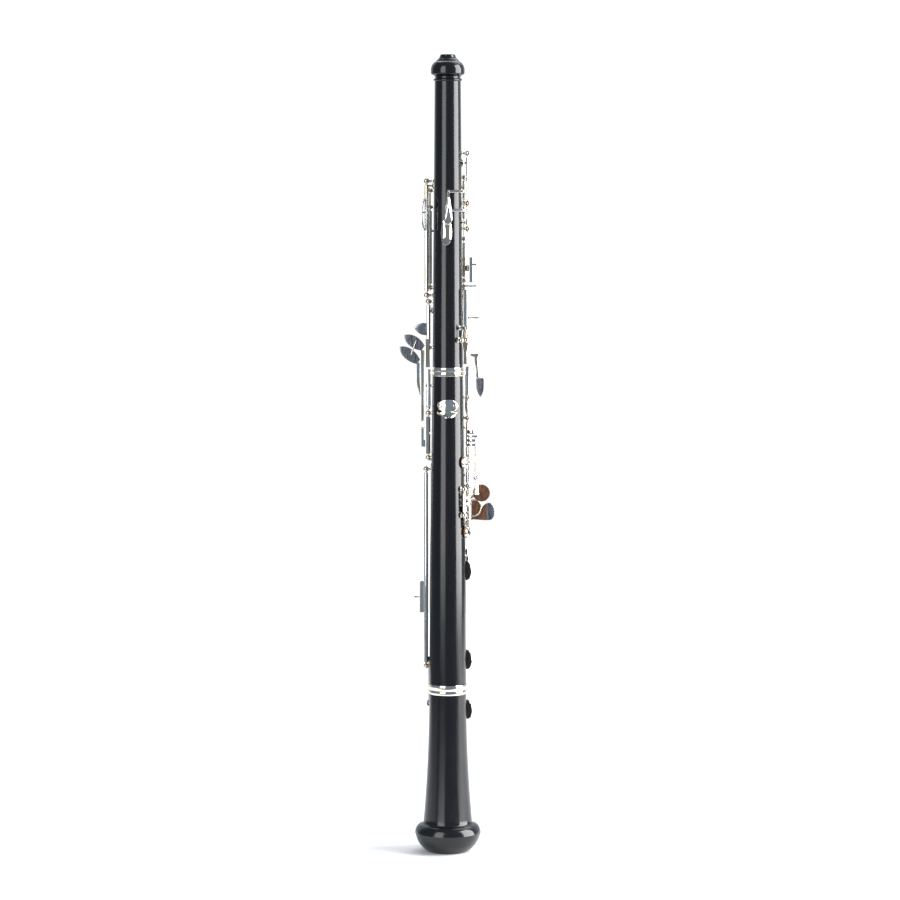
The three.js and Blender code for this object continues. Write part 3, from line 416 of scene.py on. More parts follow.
TAN_PAD = leather("tan_leather_pad", "leather", (0.55, 0.24, 0.1), 0.6, (0.62, 0.2, 0.06), (0.92, 0.4, 0.16))
# Painted shade: the three open pads at the right front get a nearly black leather colour. It paints the shade
# in their cups and a painted reflection of the black wood.
SHADED_PAD_PAINT = leather("pad_painted_shade", "dark_pad", (0.045, 0.042, 0.042), 0.55, (0.03, 0.028, 0.028),
                   (0.075, 0.07, 0.068))
finishes = (WOOD, SILVER, STEEL, BRUSHED, BROWN_TOUCH, BRASS, CORK, TAN_PAD, SHADED_PAD_PAINT)
print("finishes", [material.name for material, _ in finishes])

# %% [markdown]
# ## Tone holes and pads
# A pad has to sit squarely over its hole, so one table gives both. The cups that stand open wait two
# millimetres off the wood, and the others are shut. The tiny vents of the octave keys aren't drilled.
# %% One table for holes and cups
OPEN, SHUT = 2.0, 0
PLATE, LARGE, MIDDLE, LITTLE, SMALL, OCTAVE = 6.4, 8.1, 5.1, 5.0, 4.2, 3.6
PADS = {  # angle, height, radius of the cup, lift, radius of the hole
    "half_hole_key": (0, onTop(89), PLATE, OPEN, 1.8),
    "a_key": (0, onTop(61), PLATE, OPEN, 2.2),
    "g_key": (0, onTop(42), PLATE, OPEN, 2.4),
    "g_sharp_key": (-48, onTop(48), SMALL, SHUT, 2.2),
    "b_flat_key": (-26, onTop(112), SMALL, SHUT, 2.0),
    "c_sharp_trill_key": (14, onTop(147), SMALL, SHUT, 1.8),
    "d_trill_key": (8, onTop(127.5), SMALL, SHUT, 1.8),
    "first_octave_key": (62, onTop(166.5), OCTAVE, SHUT, None),
    "third_octave_key": (38, onTop(119), OCTAVE, SHUT, None),
    "side_octave_key": (-42, onTop(148.2), SMALL, SHUT, None),
    "f_sharp_key": (0, below(46), PLATE, OPEN, 3.0),
    "e_key": (0, below(84.5), PLATE, OPEN, 3.2),
    "d_key": (0, below(100.5), PLATE, OPEN, 3.4),
    "low_c_key": (58, above(95.3), LARGE, OPEN, 4.6),
    "low_b_key": (58, above(22.8), LARGE, OPEN, 5.2),
    "fork_f_key": (112, below(72.5), MIDDLE, SHUT, 2.6),
    "e_flat_key": (103, below(128.6), MIDDLE, SHUT, 3.0),
    "c_sharp_key": (-15, above(121), LITTLE, SHUT, 3.0),
    "bell_key": (58, onBell(17.9), LARGE, OPEN, 5.4),
}
print("pads", len(PADS), "of which drilled", sum(row[-1] is not None for row in PADS.values()))

# %% [markdown]
# ## The three joints
# Each joint is turned wood, so its outline is one closed line round the wall: up the outside and
# down the bore. Small curves break the edges. Tone holes are drilled after turning, as they are on
# the real one.
# %% Sizes of a tenon and its socket
GAP = 0.15  # from a shoulder to the ring that meets it
TENON, WALL, CORK_THICK, EASE = 22, 2.6, 1.1, 0.3  # length, wall, cork and the slack round the cork
SOCKET = TENON + 1.5  # depth
BELL_BORE, WELL_DEPTH = 7.6, 18
BORE = np.array([[BELL_SEAT - TENON, BELL_BORE], [SEAT, 4.3], [TIP - WELL_DEPTH, 2.1]])


def bore_radius(z):
    """The bore narrows evenly from the bell's tenon to the reed well."""
    return float(np.interp(z, BORE[:, 0], BORE[:, 1]))


def tenon_line(seat, bore):
    """From the tenon's foot up to the shoulder, with the groove that the cork fills."""
    wall, full = bore + WALL, bore + WALL + CORK_THICK - EASE
    return [[full, seat - TENON], [full, seat - 19.5], [wall, seat - 19.5], [wall, seat - 3.5],
            [full, seat - 3.5], [full, seat + GAP]]


# %% Cutting
def cut_out(piece, tool):
    """Takes a tool's volume out of a piece at once, so that no modifier and no tool is left."""
    cut = piece.modifiers.new("cut", "BOOLEAN")
    cut.operation, cut.solver, cut.object = "DIFFERENCE", "EXACT", tool
    bpy.context.view_layer.update()
    done = bpy.data.meshes.new_from_object(piece.evaluated_get(bpy.context.evaluated_depsgraph_get()))
    piece.modifiers.clear()
    piece.data = done
    bpy.data.objects.remove(tool)


def drilled(piece, *keys):
    """Cuts the tone holes of some keys straight from the outside into the bore."""
    cutters = []
    for phi, z, *_, r in (PADS[key] for key in keys):
        cutters.append(lathe([[0, 1], [r, 1], [r, 40], [0, 40]], 40, (0, 0, z), (*polar(phi, 1), 0)))
    cut_out(piece, make("drill", cutters, next(iter(frame["bodies"]))))
    piece.data.shade_smooth()
    piece.data.set_sharp_from_angle(angle=math.radians(34))


# %% Top joint
well = TIP - WELL_DEPTH
base = onTop(3.4) + EASE
finial = rounded([
    [NECK_RADIUS, TIP - 21.0], [NECK_RADIUS, TIP - 20.2], [11.5, TIP - 19.7], [11.5, TIP - 18.9],
    [10.2, TIP - 18.1], [10.1, TIP - 16.6], [12.2, TIP - 15.2], [13.3, TIP - 14.7], [13.45, TIP - 13.6],
    [13.45, TIP - 10.4], [12.6, TIP - 7.6], [10.9, TIP - 5.5], [9.3, TIP - 4.7], [8.9, TIP - 4.1],
    [8.6, TIP - 3.6], [6.9, TIP - 2.1], [6.2, TIP - 0.6], [5.9, TIP + 0.5], [5.2, TIP + 0.9],
    [4.3, TIP + 0.6], [3.9, TIP],
], [0.3, 0.3, 0.5, 0.4, 0.5, 0.6, 0.8, 0.3, 0.8, 1.4, 1.6, 1.2, 0.4, 0.3, 0.4, 0.9, 0.5, 0.4, 0.4])
shank = np.stack([wood_radius(np.linspace(base, TIP - 22, 60)), np.linspace(base, TIP - 22, 60)], 1)
inside = [[3.9, well], [2.1, well], [bore_radius(SEAT), SEAT - TENON]]
outer = tenon_line(SEAT, bore_radius(SEAT)) + [[MIDDLE_RADIUS - 1, SEAT + GAP], [MIDDLE_RADIUS - 1, base]]
top_line = np.vstack([outer, shank, finial, inside])
top_joint = make("top_joint_wood", [lathe(top_line, 96, closed=True)], "top_section", ["top_joint"], WOOD, 30)
drilled(top_joint, "half_hole_key", "a_key", "g_key", "g_sharp_key", "b_flat_key", "c_sharp_trill_key",
        "d_trill_key")

# %% Bottom joint
base, crest = above(4.6) + EASE, SEAT - 3.7
shank = np.stack([wood_radius(np.linspace(base, crest, 70)), np.linspace(base, crest, 70)], 1)
socket = bore_radius(SEAT) + WALL + CORK_THICK + EASE
outer = tenon_line(BELL_SEAT, BELL_BORE)
outer += [[FOOT_RADIUS - 1, BELL_SEAT + GAP], [FOOT_RADIUS - 1, base]]
inside = [[MIDDLE_RADIUS - 1, crest], [MIDDLE_RADIUS - 1, SEAT - GAP], [socket, SEAT - GAP],
          [socket, SEAT - SOCKET], [bore_radius(SEAT), SEAT - SOCKET], [BELL_BORE, BELL_SEAT - TENON]]
bottom_line = np.vstack([outer, shank, inside])
bottom_joint = make("bottom_joint_wood", [lathe(bottom_line, 96, closed=True)], "bottom_section",
                    ["bottom_joint"], WOOD, 30)
drilled(bottom_joint, "f_sharp_key", "e_key", "d_key", "low_c_key", "low_b_key", "fork_f_key", "e_flat_key",
        "c_sharp_key")

# %% Bell
crest, rim_top = BELL_SEAT - 3.6, 25.2
low = np.linspace(rim_top, crest, 60)
socket = BELL_BORE + WALL + CORK_THICK + EASE
bowl = rounded([
    [14.0, 0.9], [14.8, 0.0], [16.3, 0.0], [17.6, 0.8], [20.2, 2.9], [23.2, 6.2], [25.3, 10.0], [26.6, 14.4],
    [26.9, 15.4], [26.5, 17.6], [25.3, 20.2], [23.4, 22.0], [21.6, 22.6], [20.3, 23.2],
    [float(wood_radius(rim_top)), rim_top],
], [0.4, 0.4, 0.9, 1.3, 2.0, 2.2, 2.4, 0.3, 1.2, 1.4, 1.0, 0.9, 0.9])
flare = np.stack([wood_radius(low), low], 1)
share = np.linspace(1, 0, 24)
mouth = np.stack([BELL_BORE + 6.4 * (1 - share) ** 1.6, (BELL_SEAT - SOCKET) * share + 0.9 * (1 - share)], 1)
inside = [[14, crest], [14, BELL_SEAT - GAP], [socket, BELL_SEAT - GAP], [socket, BELL_SEAT - SOCKET]]
bell_line = np.vstack([bowl[1:], flare[1:], inside, mouth])
bell = make("bell_wood", [lathe(bell_line, 144, closed=True)], "bell_section", ["bell"], WOOD, 24)
drilled(bell, "bell_key")
print("wood faces", [len(o.data.polygons) for o in (top_joint, bottom_joint, bell)])

# %% [markdown]
# ## Rings, corks and the liner
# The metal rings stop the sockets from splitting. Each is a thin band with broken edges, and the two
# wider ones have a turned line round them.
# %% Rings
def band(radius, low, high, groove=None):
    """A closed section turned round the bore: a band with eased edges, and a fine turned line."""
    face, edge, inner = radius + 0.38, radius + 0.2, radius - 0.7
    out = [[inner, low], [edge, low], [face, low + 0.25]]
    if groove:
        out += [[face, groove - 0.22], [radius + 0.14, groove], [face, groove + 0.22]]
    out += [[face, high - 0.25], [edge, high], [inner, high]]
    return lathe(out, 96, closed=True)


for name, body, radius, low, high, groove in [
    ("bell_socket_ring", "bell_section", FOOT_RADIUS, BELL_SEAT - 3.3, BELL_SEAT - GAP, None),
    ("bottom_joint_foot_ring", "bottom_section", FOOT_RADIUS, BELL_SEAT + GAP, above(4.6), above(3.2)),
    ("bottom_joint_socket_ring", "bottom_section", MIDDLE_RADIUS, SEAT - 3.4, SEAT - GAP, None),
    ("top_joint_ring", "top_section", MIDDLE_RADIUS, SEAT + GAP, onTop(3.4), onTop(2.5)),
]:
    make(name + "_band", [band(radius, low, high, groove)], body, [name], SILVER)

# %% Corks and reed liner
for name, body, seat, bore in [
    ("top_tenon_cork", "top_section", SEAT, bore_radius(SEAT)),
    ("bottom_tenon_cork", "bottom_section", BELL_SEAT, BELL_BORE),
]:
    low, high, inner, outer = seat - 19.2, seat - 3.8, bore + 2.9, bore + 3.7
    z = np.linspace(low, high, 30)
    swell = outer - 0.25 * np.abs((z - (low + high) / 2) / (high - low) * 2) ** 3
    line = np.vstack([[[inner, low]], np.stack([swell, z], 1), [[inner, high]]])
    make(name + "_wrap", [lathe(line, 72, closed=True)], body, [name], CORK)
liner = [[3.1, well + 0.3], [3.6, well + 0.3], [3.6, TIP - 0.3], [3.45, TIP - 0.02], [3.2, TIP - 0.02],
         [3.1, TIP - 0.3]]
make("reed_well_tube", [lathe(liner, 48, closed=True)], "top_section", ["reed_well_liner"], BRASS)

# %% [markdown]
# ## Rods and posts
# Keys turn on thin steel rods. Each rod is held by posts: a small flange on the wood, a waisted stem and a
# ball. A post is one turned shape that points away from the bore, and a rod ends in a rounded screw head.
# %% Posts
BALL, ROD = 2.25, 0.7  # radii


def axis_of(key):
    """Angle and radius of a key's hinge line."""
    x, y = HINGE[key][:2]
    return math.degrees(math.atan2(x, y)), math.hypot(x, y)


def ball_post(phi, z, reach):
    """Flange, waisted stem and ball on the hinge line. The ball is part of a circle turned round."""
    w = float(wood_radius(z))
    t = np.radians(np.linspace(-58, 90, 15))
    ball = np.stack([BALL * np.cos(t), reach + BALL * np.sin(t)], 1)
    flange = [[0, w - 0.4], [1.9, w - 0.4], [1.9, w + 0.3], [1.65, w + 0.5], [1.15, w + 0.75],
              [0.95, w + 1.1]]
    flange = [p for p in flange if p[1] < ball[0, 1] - 0.05]
    return lathe(np.vstack([flange, ball]), 28, (0, 0, z), (*polar(phi, 1), 0))


def plain_rod(low, high, at):
    """An upright steel rod with flat ends."""
    return lathe([[0, low], [ROD, low], [ROD, high], [0, high]], 20, at)


def rod_set(name, key, low, high, posts, body):
    """A rod with a rounded end screw beyond each end post, and its posts."""
    phi, reach = axis_of(key)
    x, y = polar(phi, reach)
    heads = [lathe([[0, 0], [1.0, 0], [1.0, 0.5], [0.8, 0.7], [0, 0.72]], 20, (x, y, z), (0, 0, s))
             for z, s in ((max(posts) + 1.6, 1), (min(posts) - 1.6, -1))]
    shells = [plain_rod(low, high, (x, y, 0)), *heads, *[ball_post(phi, z, reach) for z in posts]]
    return make(name + "_set", shells, body, [name], STEEL)


# %% All the rods
for name, key, low, high, posts in [
    ("octave_rod", "first_octave_key", 113, 175, (174, 134.3, 114)),
    ("upper_stack_rod", "a_key", 30, 156, (155, 134.3, 106, 72.6, 31)),
    ("side_octave_rod", "side_octave_key", 60, 153, (152, 61)),
    ("b_flat_rod", "b_flat_key", 66, 145.4, (144.3, 131.2, 67)),
    ("g_sharp_rod", "g_sharp_key", 18, 57, (19, 56)),
]:
    rod_set(name, key, onTop(low), onTop(high), [onTop(v) for v in posts], "top_section")
for name, key, low, high, posts in [
    ("lower_stack_rod", "f_sharp_key", below(123), below(20), [below(v) for v in (21, 37.5, 92.5, 122)]),
    ("e_flat_rod", "e_flat_key", below(115.5), below(93.5), [below(114.9), below(94)]),
    ("foot_rod", "low_c_key", above(105.5), above(130), [above(106.5), above(129)]),
    ("left_lever_rod", "low_b_lever", below(70.4), below(10.5), [below(v) for v in (69.4, 33.5, 11.5)]),
    ("long_left_rod", "low_b_flat_link", above(18), below(76.9), [above(18.8), below(78.5)]),
    ("low_b_rod", "low_b_key", above(9.5), below(71), [above(10.5), below(72)]),
]:
    rod_set(name, key, low, high, posts, "bottom_section")
rod_set("bell_key_rod", "bell_key", onBell(36.6), onBell(5.6), [onBell(35.8), onBell(6.6)], "bell_section")

# %% [markdown]
# ## Parts of a key
# A key is a hinge tube with things silver-soldered to it: a flat arm that follows the wood round, a
# domed cup that holds a pad, and a touch for a finger. One function makes each of these, so a key is
# just a list of them.
# %% Tube, arm and cup
def tube(key, low, high, collars=()):
    """A hinge tube: a closed wall section turned about the key's own hinge line, with eased ends and
    narrow raised collars."""
    x, y = HINGE[key][:2]
    out = [[0.8, low], [1.35, low], [1.6, low + 0.25]]
    for c in sorted(collars):
        out += [[1.6, c - 0.6], [1.85, c - 0.45], [1.85, c + 0.45], [1.6, c + 0.6]]
    out += [[1.6, high - 0.25], [1.35, high], [0.8, high]]
    return lathe(out, 24, (x, y, 0), closed=True)


BACK = 0.3 + 1.8 + 2.0  # from the wood to the back of a shut cup: gap, pad and cup


def arm(key, width=3.0):
    """Follows the wood from the hinge line to the cup's rim, then lies flat across its back."""
    phi, z, cup_radius, lift, _ = PADS[key]
    phi0, r0 = axis_of(key)
    reach = float(wood_radius(z)) + lift + BACK - 0.75
    turn = np.sign(phi - phi0)
    at_rim = math.hypot(reach, cup_radius)
    sweep = phi - turn * math.degrees(math.atan2(cup_radius, reach)) - phi0
    path = [np.r_[polar(phi0, r0), z]]
    if sweep * turn >= 8:
        s = np.linspace(0, 1, max(2, round(abs(sweep) / 12)))[1:]
        path += [np.r_[polar(phi0 + sweep * v, r0 + (at_rim - r0) * v**0.6), z] for v in s]
    path.append(np.r_[polar(phi, reach), z])
    return bar(path, (width * 1.15, width * 0.85, width * 0.95), (1.6, 1.4, 1.2), ends=0.7, bend=2.5)


def cup_wall(radius, face):
    """The underside of a cup: its hollow, its thin wall and the start of the bead round its rim."""
    return [[0.001, face + 0.7], [radius - 0.4, face + 0.7], [radius - 0.4, face],
            [radius - 0.15, face - 0.05], [radius + 0.02, face + 0.2]]


def cup(key, boss=0.9):
    """A cup: a bead round its rim, a low dome and a boss where the arm is soldered."""
    phi, z, radius, lift, _ = PADS[key]
    w = float(wood_radius(z)) + 0.3 + lift
    face, back = w + 0.75, w + 3.8
    dome = np.linspace(1, 0, 9)[:-1]
    top = np.stack([radius * 0.9 * dome, back - 0.15 - 0.75 * dome**2], 1)
    line = np.vstack([
        cup_wall(radius, face), [[radius - 0.06, face + 0.6], [radius - 0.1, back - 1.15]],
        top, [[boss, back - 0.1], [boss * 0.8, back + 0.25], [0.001, back + 0.3]],
    ])
    return lathe(line, 48, (0, 0, z), (*polar(phi, 1), 0))


def plate_cup(key):
    """A finger plate: a cup whose back has a raised ring round a shallow dish for the fingertip."""
    phi, z, radius, lift, _ = PADS[key]
    w = float(wood_radius(z)) + 0.3 + lift
    face, back = w + 0.75, w + 3.8
    line = cup_wall(radius, face)
    line += [[radius - 0.06, back - 1.5], [radius * 0.93, back - 0.95], [radius * 0.84, back - 0.35],
             [radius * 0.74, back], [radius * 0.64, back - 0.1], [radius * 0.45, back - 0.3],
             [radius * 0.22, back - 0.38], [0.001, back - 0.4]]
    return lathe(line, 56, (0, 0, z), (*polar(phi, 1), 0))


# %% Pad and peg
def pad(key, name, look=CORK, nodes=()):
    """A pad as its own piece: a flat face with a soft edge, and a ring pressed into it by the tone
    hole's rim."""
    phi, z, radius, lift, _ = PADS[key]
    w = float(wood_radius(z)) + 0.32 + lift
    line = [[0.001, w + 0.12], [radius * 0.45, w + 0.1], [radius * 0.55, w + 0.2], [radius * 0.66, w],
            [radius - 0.9, w], [radius - 0.5, w + 0.25], [radius - 0.45, w + 1.38], [0.001, w + 1.38]]
    return make(name, [lathe(line, 48, (0, 0, z), (*polar(phi, 1), 0))], key, nodes, look)


def peg(start, direction, length, radius=0.9):
    """A short round peg with an eased end."""
    ease = radius * 0.3
    line = [[0.001, 0], [radius, 0], [radius, length - ease], [radius - ease, length], [0.001, length]]
    return lathe(line, 20, start, direction)


def pegged(key):
    """The two short pegs on the back of a large cup, where its arm is pinned."""
    phi, z, radius, lift, _ = PADS[key]
    back = float(wood_radius(z)) + lift + 4.0
    out = np.r_[polar(phi, 1), 0]
    return [peg(out * back + [0, 0, z + v], out, 1.7, 0.6) for v in (0.0, radius * 0.68)]


# %% Strips and whole keys
def path3(*points):
    """Points [x, y, z] as one array."""
    return np.array(points, float)


def flat_bar(points, z_low, z_high, depth, bend=1.5):
    """A strip seen edge-on: a line in plan, as tall as z_low to z_high."""
    mid = (z_low + z_high) / 2
    return bar([[x, y, mid] for x, y in points], z_high - z_low, depth, ends=0.5, bend=bend, square=5)


def key_piece(key, *shells):
    """The silver part of a key, which stands for the key's solid."""
    return make(key + "_silver", list(shells), key, [key], SILVER)


def touch_piece(key, part, look, *shells):
    """A part soldered to a key that has its own finish."""
    return make(key + "_" + part, list(shells), key, (), look)


# %% [markdown]
# ## Keys of the top joint
# The stack runs down the front with three finger plates. Behind it the thumb works two petals, one
# over the other, and the left first finger rolls on to a long dished touch.
# %% Upper stack
z = PADS["half_hole_key"][1]
front = float(wood_radius(z)) + OPEN + BACK
x, y = HINGE["half_hole_key"][:2]
key_piece("half_hole_key", tube("half_hole_key", onTop(75.6), onTop(102.8), (onTop(78), onTop(98))),
          arm("half_hole_key"), plate_cup("half_hole_key"),
          leaf_plate(leaf_line([2, z - 3], [2.2, z - 15.5], 8.5, 8.5), front - 1.6, front, 0.35),
          flat_bar([(x, y), (x + 3.5, y - 2.5), (x + 6.6, y - 3.5)], onTop(80.2), onTop(84.8), 1.2),
          bar(path3([x + 5.2, y - 3.5, onTop(71)], [x + 5.2, y - 3.5, onTop(91.4)]), 3.1, 1.0, (0, -1, 0),
              square=7),
          peg((x + 6.4, y - 3.4, onTop(85.4)), (1, 0, 0), 3.6, 1.05))
pad("half_hole_key", "half_hole_pad")
for key, low, high, peg_z, reach in [("a_key", onTop(52), onTop(69.9), onTop(68.3), 10.2),
                                     ("g_key", onTop(33.7), onTop(51.6), onTop(42.8), 12.6)]:
    key_piece(key, tube(key, low, high, (low + 2.2, high - 2.2)), arm(key), plate_cup(key),
              peg((x, y - 1.0, peg_z), (1, -0.12, 0), reach, 1.0))
    pad(key, key + "_pad")

# %% Trill cups
for key, low, high in [("c_sharp_trill_key", onTop(137), onTop(152.3)),
                       ("d_trill_key", onTop(121.6), onTop(131.6))]:
    key_piece(key, tube(key, low, high, (low + 1.6,)), arm(key), cup(key))
    pad(key, key + "_pad")

# %% Thumb keys
LEVEL = float(wood_radius(onTop(129))) + 1.9  # of the lower petal, out from the bore
for key, low, high, arm_z, level, outline in [
    ("first_octave_key", onTop(137.2), onTop(171), onTop(143.8), LEVEL + 3.4,
     leaf_line([0.5, onTop(145.2)], [0.3, onTop(117.8)], 1.8, 7.0, (0.55, 0.2), (1.0, 0.88))),
    ("third_octave_key", onTop(117), onTop(131.3), onTop(128.9), LEVEL,
     leaf_line([-0.9, onTop(121)], [-1.3, onTop(100.8)], 5.4, 8.6, (0.35, 0.62), (0.95, 0.62))),
]:
    x, y = HINGE[key][:2]
    out = level + 0.65
    neck = bar(path3([x, y, arm_z], [x - 1.2, -out + 3.5, arm_z], [x - 4.5, -out, arm_z],
                     [0.4, -out, arm_z]), (2.2, 2.0, 2.4), (1.9, 1.8, 1.6), bend=3, square=2.0)
    petal = leaf_plate(outline, -level, -level - 1.0, -1.5, 0.5)
    shells = [tube(key, low, high, (arm_z - 2.6, arm_z + 2.6)), neck, petal]
    if key == "first_octave_key":
        shells += [arm(key, 2.6), cup(key)]
    else:
        over = axis_of("a_key")[1] + 2.3
        phi, z = PADS[key][:2]
        w = float(wood_radius(z))
        stem = [[0.001, w + 3], [1.2, w + 3], [1.0, over - 0.4], [1.5, over + 0.3], [0.001, over + 0.5]]
        shells += [bar(path3([0, -out, onTop(130.6)], [-0.4, -out, onTop(118)]), (4.4, 3.6, 4.6), 1.3,
                       (0, -1, 0)),
                   bar(path3([x, y, z], [*polar(66, over), z], [*polar(phi, over), z]), (3.0, 2.6),
                       (1.5, 1.2)),
                   lathe(stem, 24, (0, 0, z), (*polar(phi, 1), 0)), cup(key)]
    key_piece(key, *shells)
pad("first_octave_key", "first_octave_pad")
pad("third_octave_key", "third_octave_pad")

# %% Side octave and B flat
def dish(x_levels, y_low, y_high, thick):
    """A long dished touch: a line of [x, z] carried across in y, with its ends and edges rounded."""
    line = rounded(x_levels, 6.0, 6)
    d = np.r_[0, np.cumsum(np.linalg.norm(np.diff(line, axis=0), axis=1))]
    s = np.linspace(0, d[-1], 40)
    px, pz = np.interp(s, d, line[:, 0]), np.interp(s, d, line[:, 1])
    ends = np.sqrt(np.clip(1 - (2 * s / d[-1] - 1) ** 4, 0.01, 1))
    a = np.linspace(0, 2 * np.pi, 24, endpoint=False)
    c, q = [np.sign(f) * np.abs(f) ** 0.6 for f in (np.cos(a), np.sin(a))]
    mid, half = (y_low + y_high) / 2, (y_high - y_low) / 2
    hollow = 0.5 * (1 - c**2)
    P = [px[:, None] + thick / 2 * q + hollow * 0.8, mid + half * ends[:, None] * c, pz[:, None] + 0 * c]
    return shell(np.stack(P, -1))


x, y = HINGE["side_octave_key"][:2]
key_piece("side_octave_key",
          tube("side_octave_key", onTop(64), onTop(149.2), (onTop(66), onTop(108), onTop(142))),
          dish([[x - 2.0, onTop(138.5)], [x - 3.9, onTop(131)], [x - 4.2, onTop(122)],
                [x - 2.2, onTop(112.5)]], -9, 0.5, 1.1),
          bar(path3([x, -0.6, onTop(127)], [x - 4.0, -1.6, onTop(127)]), 3.2, 2.2, (0, 0, 1)),
          arm("side_octave_key", 2.0), cup("side_octave_key"))
pad("side_octave_key", "side_octave_pad")
key_piece("b_flat_key", tube("b_flat_key", onTop(70), onTop(128.5), (onTop(72), onTop(126.5))),
          arm("b_flat_key"), cup("b_flat_key"))
pad("b_flat_key", "b_flat_pad")

# %% G sharp
x, y = HINGE["g_sharp_key"][:2]
key_piece("g_sharp_key", tube("g_sharp_key", onTop(21.7), onTop(53.3), (onTop(24), onTop(51))),
          bar(path3([x, y, onTop(33.6)], [x - 2.2, y + 1.9, onTop(33.6)]), 7.6, 1.5),
          flat_bar([(x, y), (x - 0.9, y - 3.3)], onTop(22.6), onTop(26), 2.0),
          bar(path3([x - 0.9, y - 3.3, onTop(26)], [x - 0.9, y - 3.3, onTop(3)]), (4.2, 3.6, 4.2), 1.2,
              (0, -1, 0), square=7),
          arm("g_sharp_key"), cup("g_sharp_key"))
pad("g_sharp_key", "g_sharp_pad")
leaf = leaf_line([x - 0.8, onTop(33.4)], [x - 11.5, onTop(35)], 9.2, 9.2, (0.35, 0.6), (0.72, 0.5))
touch_piece("g_sharp_key", "leaf", BRUSHED, leaf_plate(leaf, y + 1.2, y + 2.7, 0.08, 0.35))

# %% The trill lever's pin and guide posts
x, y, z = HINGE["trill_lever"]
phi, reach = 116.0, math.hypot(x, y)
out = np.r_[polar(phi, 1), 0]
cross = np.array([out[1], -out[0], 0])
HALF_PIN, GUIDE_ANGLE, GUIDE_REACH = 5.6, 127, 18.5
swing, head = math.degrees(math.atan2(HALF_PIN, reach)), math.hypot(HALF_PIN, reach)
pin = lathe([[0.001, -HALF_PIN], [ROD, -HALF_PIN], [ROD, HALF_PIN], [0.001, HALF_PIN]], 20, (x, y, z), cross)
low, high = onTop(25.6), onTop(35.2)
guides = [ball_post(GUIDE_ANGLE, v, GUIDE_REACH) for v in (low, high)]
guides.append(plain_rod(low, high, (*polar(GUIDE_ANGLE, GUIDE_REACH), 0)))
ends = [ball_post(phi + s * swing, z, head) for s in (-1, 1)]
make("trill_lever_pin_set", [pin, *guides, *ends], "top_section", ["trill_lever_pin"], STEEL)

# %% Trill lever
hub = [[0.8, -3], [1.4, -3], [1.6, -2.8], [1.6, 2.8], [1.4, 3], [0.8, 3]]
spine = np.r_[x, y] + out[:2] * 0.6
touch_top = onTop(13.2)
spatula = np.vstack([
    cubic([22.9, below(4.6)], [21.9, below(12)], [23.6, below(18)], [26.4, below(20.4)]),
    cubic([26.4, below(20.4)], [28.8, below(17)], [30.0, below(11)], [28.6, below(4.6)])[1:],
])
key_piece("trill_lever", lathe(hub, 24, (x, y, z), cross, closed=True),
          bar(path3([*spine, onTop(6)], [*spine, onTop(66)]), (3.2, 3.0, 6.2, 3.2, 3.2, 3.2, 2.8), 1.2,
              (0.1, -1, 0), square=7),
          bar(path3([*spine, touch_top + 1], [x + 5.5, y + 2.6, touch_top + 1],
                    [x + 11.5, y + 4.5, touch_top - 1]), (3.8, 3.2, 5.2), 1.5, (out[0], out[1], 0), square=5),
          bar(path3([24.4, y + 4.3, onTop(12)], [25.0, y + 4.2, onTop(2)], [25.7, y + 4.2, below(5.4)]),
              (6.6, 5.8, 5.6), 1.5, (0.5, -0.87, 0), square=5),
          bar(path3([22.7, y + 3.3, below(5)], [28.9, y + 3.3, below(5)]), 1.1, 1.0, (0, -1, 0)))
touch_piece("trill_lever", "leaf", BRUSHED, leaf_plate(spatula, y + 4.9, y + 3.5, -0.12, 0.35))
print("trill lever at", [round(float(v), 2) for v in HINGE["trill_lever"] - [0, 0, SEAT]])
print("top joint keys made")

# %% [markdown]
# ## Keys of the bottom joint and bell
# The left little finger reaches three leaves in a fan. Their tubes run down the side to the largest
# cups, which stand open. The right hand has three plates in front and three touches at the side.
# %% Left little finger
x, y = HINGE["low_b_lever"][:2]
for key, low, high, stem, root, tip, root_w, level in [
    ("low_b_lever", below(49), below(36.6), [(4.9, onTop(17))],
     [x - 4.2, onTop(18.4)], [x - 19.4, onTop(29)], 5.0, 1.6),
    ("low_b_flat_lever", below(66.4), below(50.2), [(8.4, onTop(7)), (8.4, below(10)), (4.9, below(22))],
     [x - 8.0, onTop(7.2)], [x - 23.0, onTop(19.6)], 4.6, 4.6),
]:
    mid = (low + high) / 2
    line = [[x - across, y + level, v] for across, v in [(4.9, mid - 3), *stem[::-1]]]
    key_piece(key, tube(key, low, high, (low + 1.8, high - 1.8)),
              flat_bar([(x, y), (x - 2.4, y + level * 0.5), (x - 5.5, y + level)], mid - 3, mid + 3, 1.4),
              bar(path3(*line), (2.6, 2.6, 2.8, 3.6), 1.3, (0, 1, 0), bend=3, square=7))
    leaf = leaf_line(root, tip, root_w, 9.4, (0.35, 0.6), (0.78, 0.6))
    touch_piece(key, "leaf", BRUSHED, leaf_plate(leaf, y + level + 0.8, y + level - 0.7, -0.08, 0.35))
roller = path3([x - 9.6, y - 0.1, onTop(24.6)], [x - 13.9, y - 0.1, onTop(13.2)])
touch_piece("low_b_lever", "roller", STEEL, bar(roller, 1.3, 1.3, (0, -1, 0), ends=0.4, square=2.0),
            bar(path3(roller[0], roller[0] + [0, 1.3, 0]), 1.2, 0.8, (0, 0, 1), ends=0.2))
touch_piece("low_b_lever", "front_bar", SILVER,
            bar(path3([x - 0.8, y - 2.7, below(36.2)], [x - 0.8, y - 2.7, below(66.4)]), 3.0, 1.0,
                (0, -1, 0), square=7),
            flat_bar([(x, y), (x - 0.8, y - 2.7)], below(45), below(41), 1.6))
key_piece("left_bridge_key", tube("left_bridge_key", below(30.4), below(14.2), (below(28),)),
          flat_bar([(x, y), (x, y - 3.4)], below(29), below(16), 2.0),
          bar(path3([x + 0.4, y - 3.5, below(28)], [x + 0.4, y - 3.5, onTop(2)]), (3.2, 2.6, 3.2), 1.2,
              (0, -1, 0)))

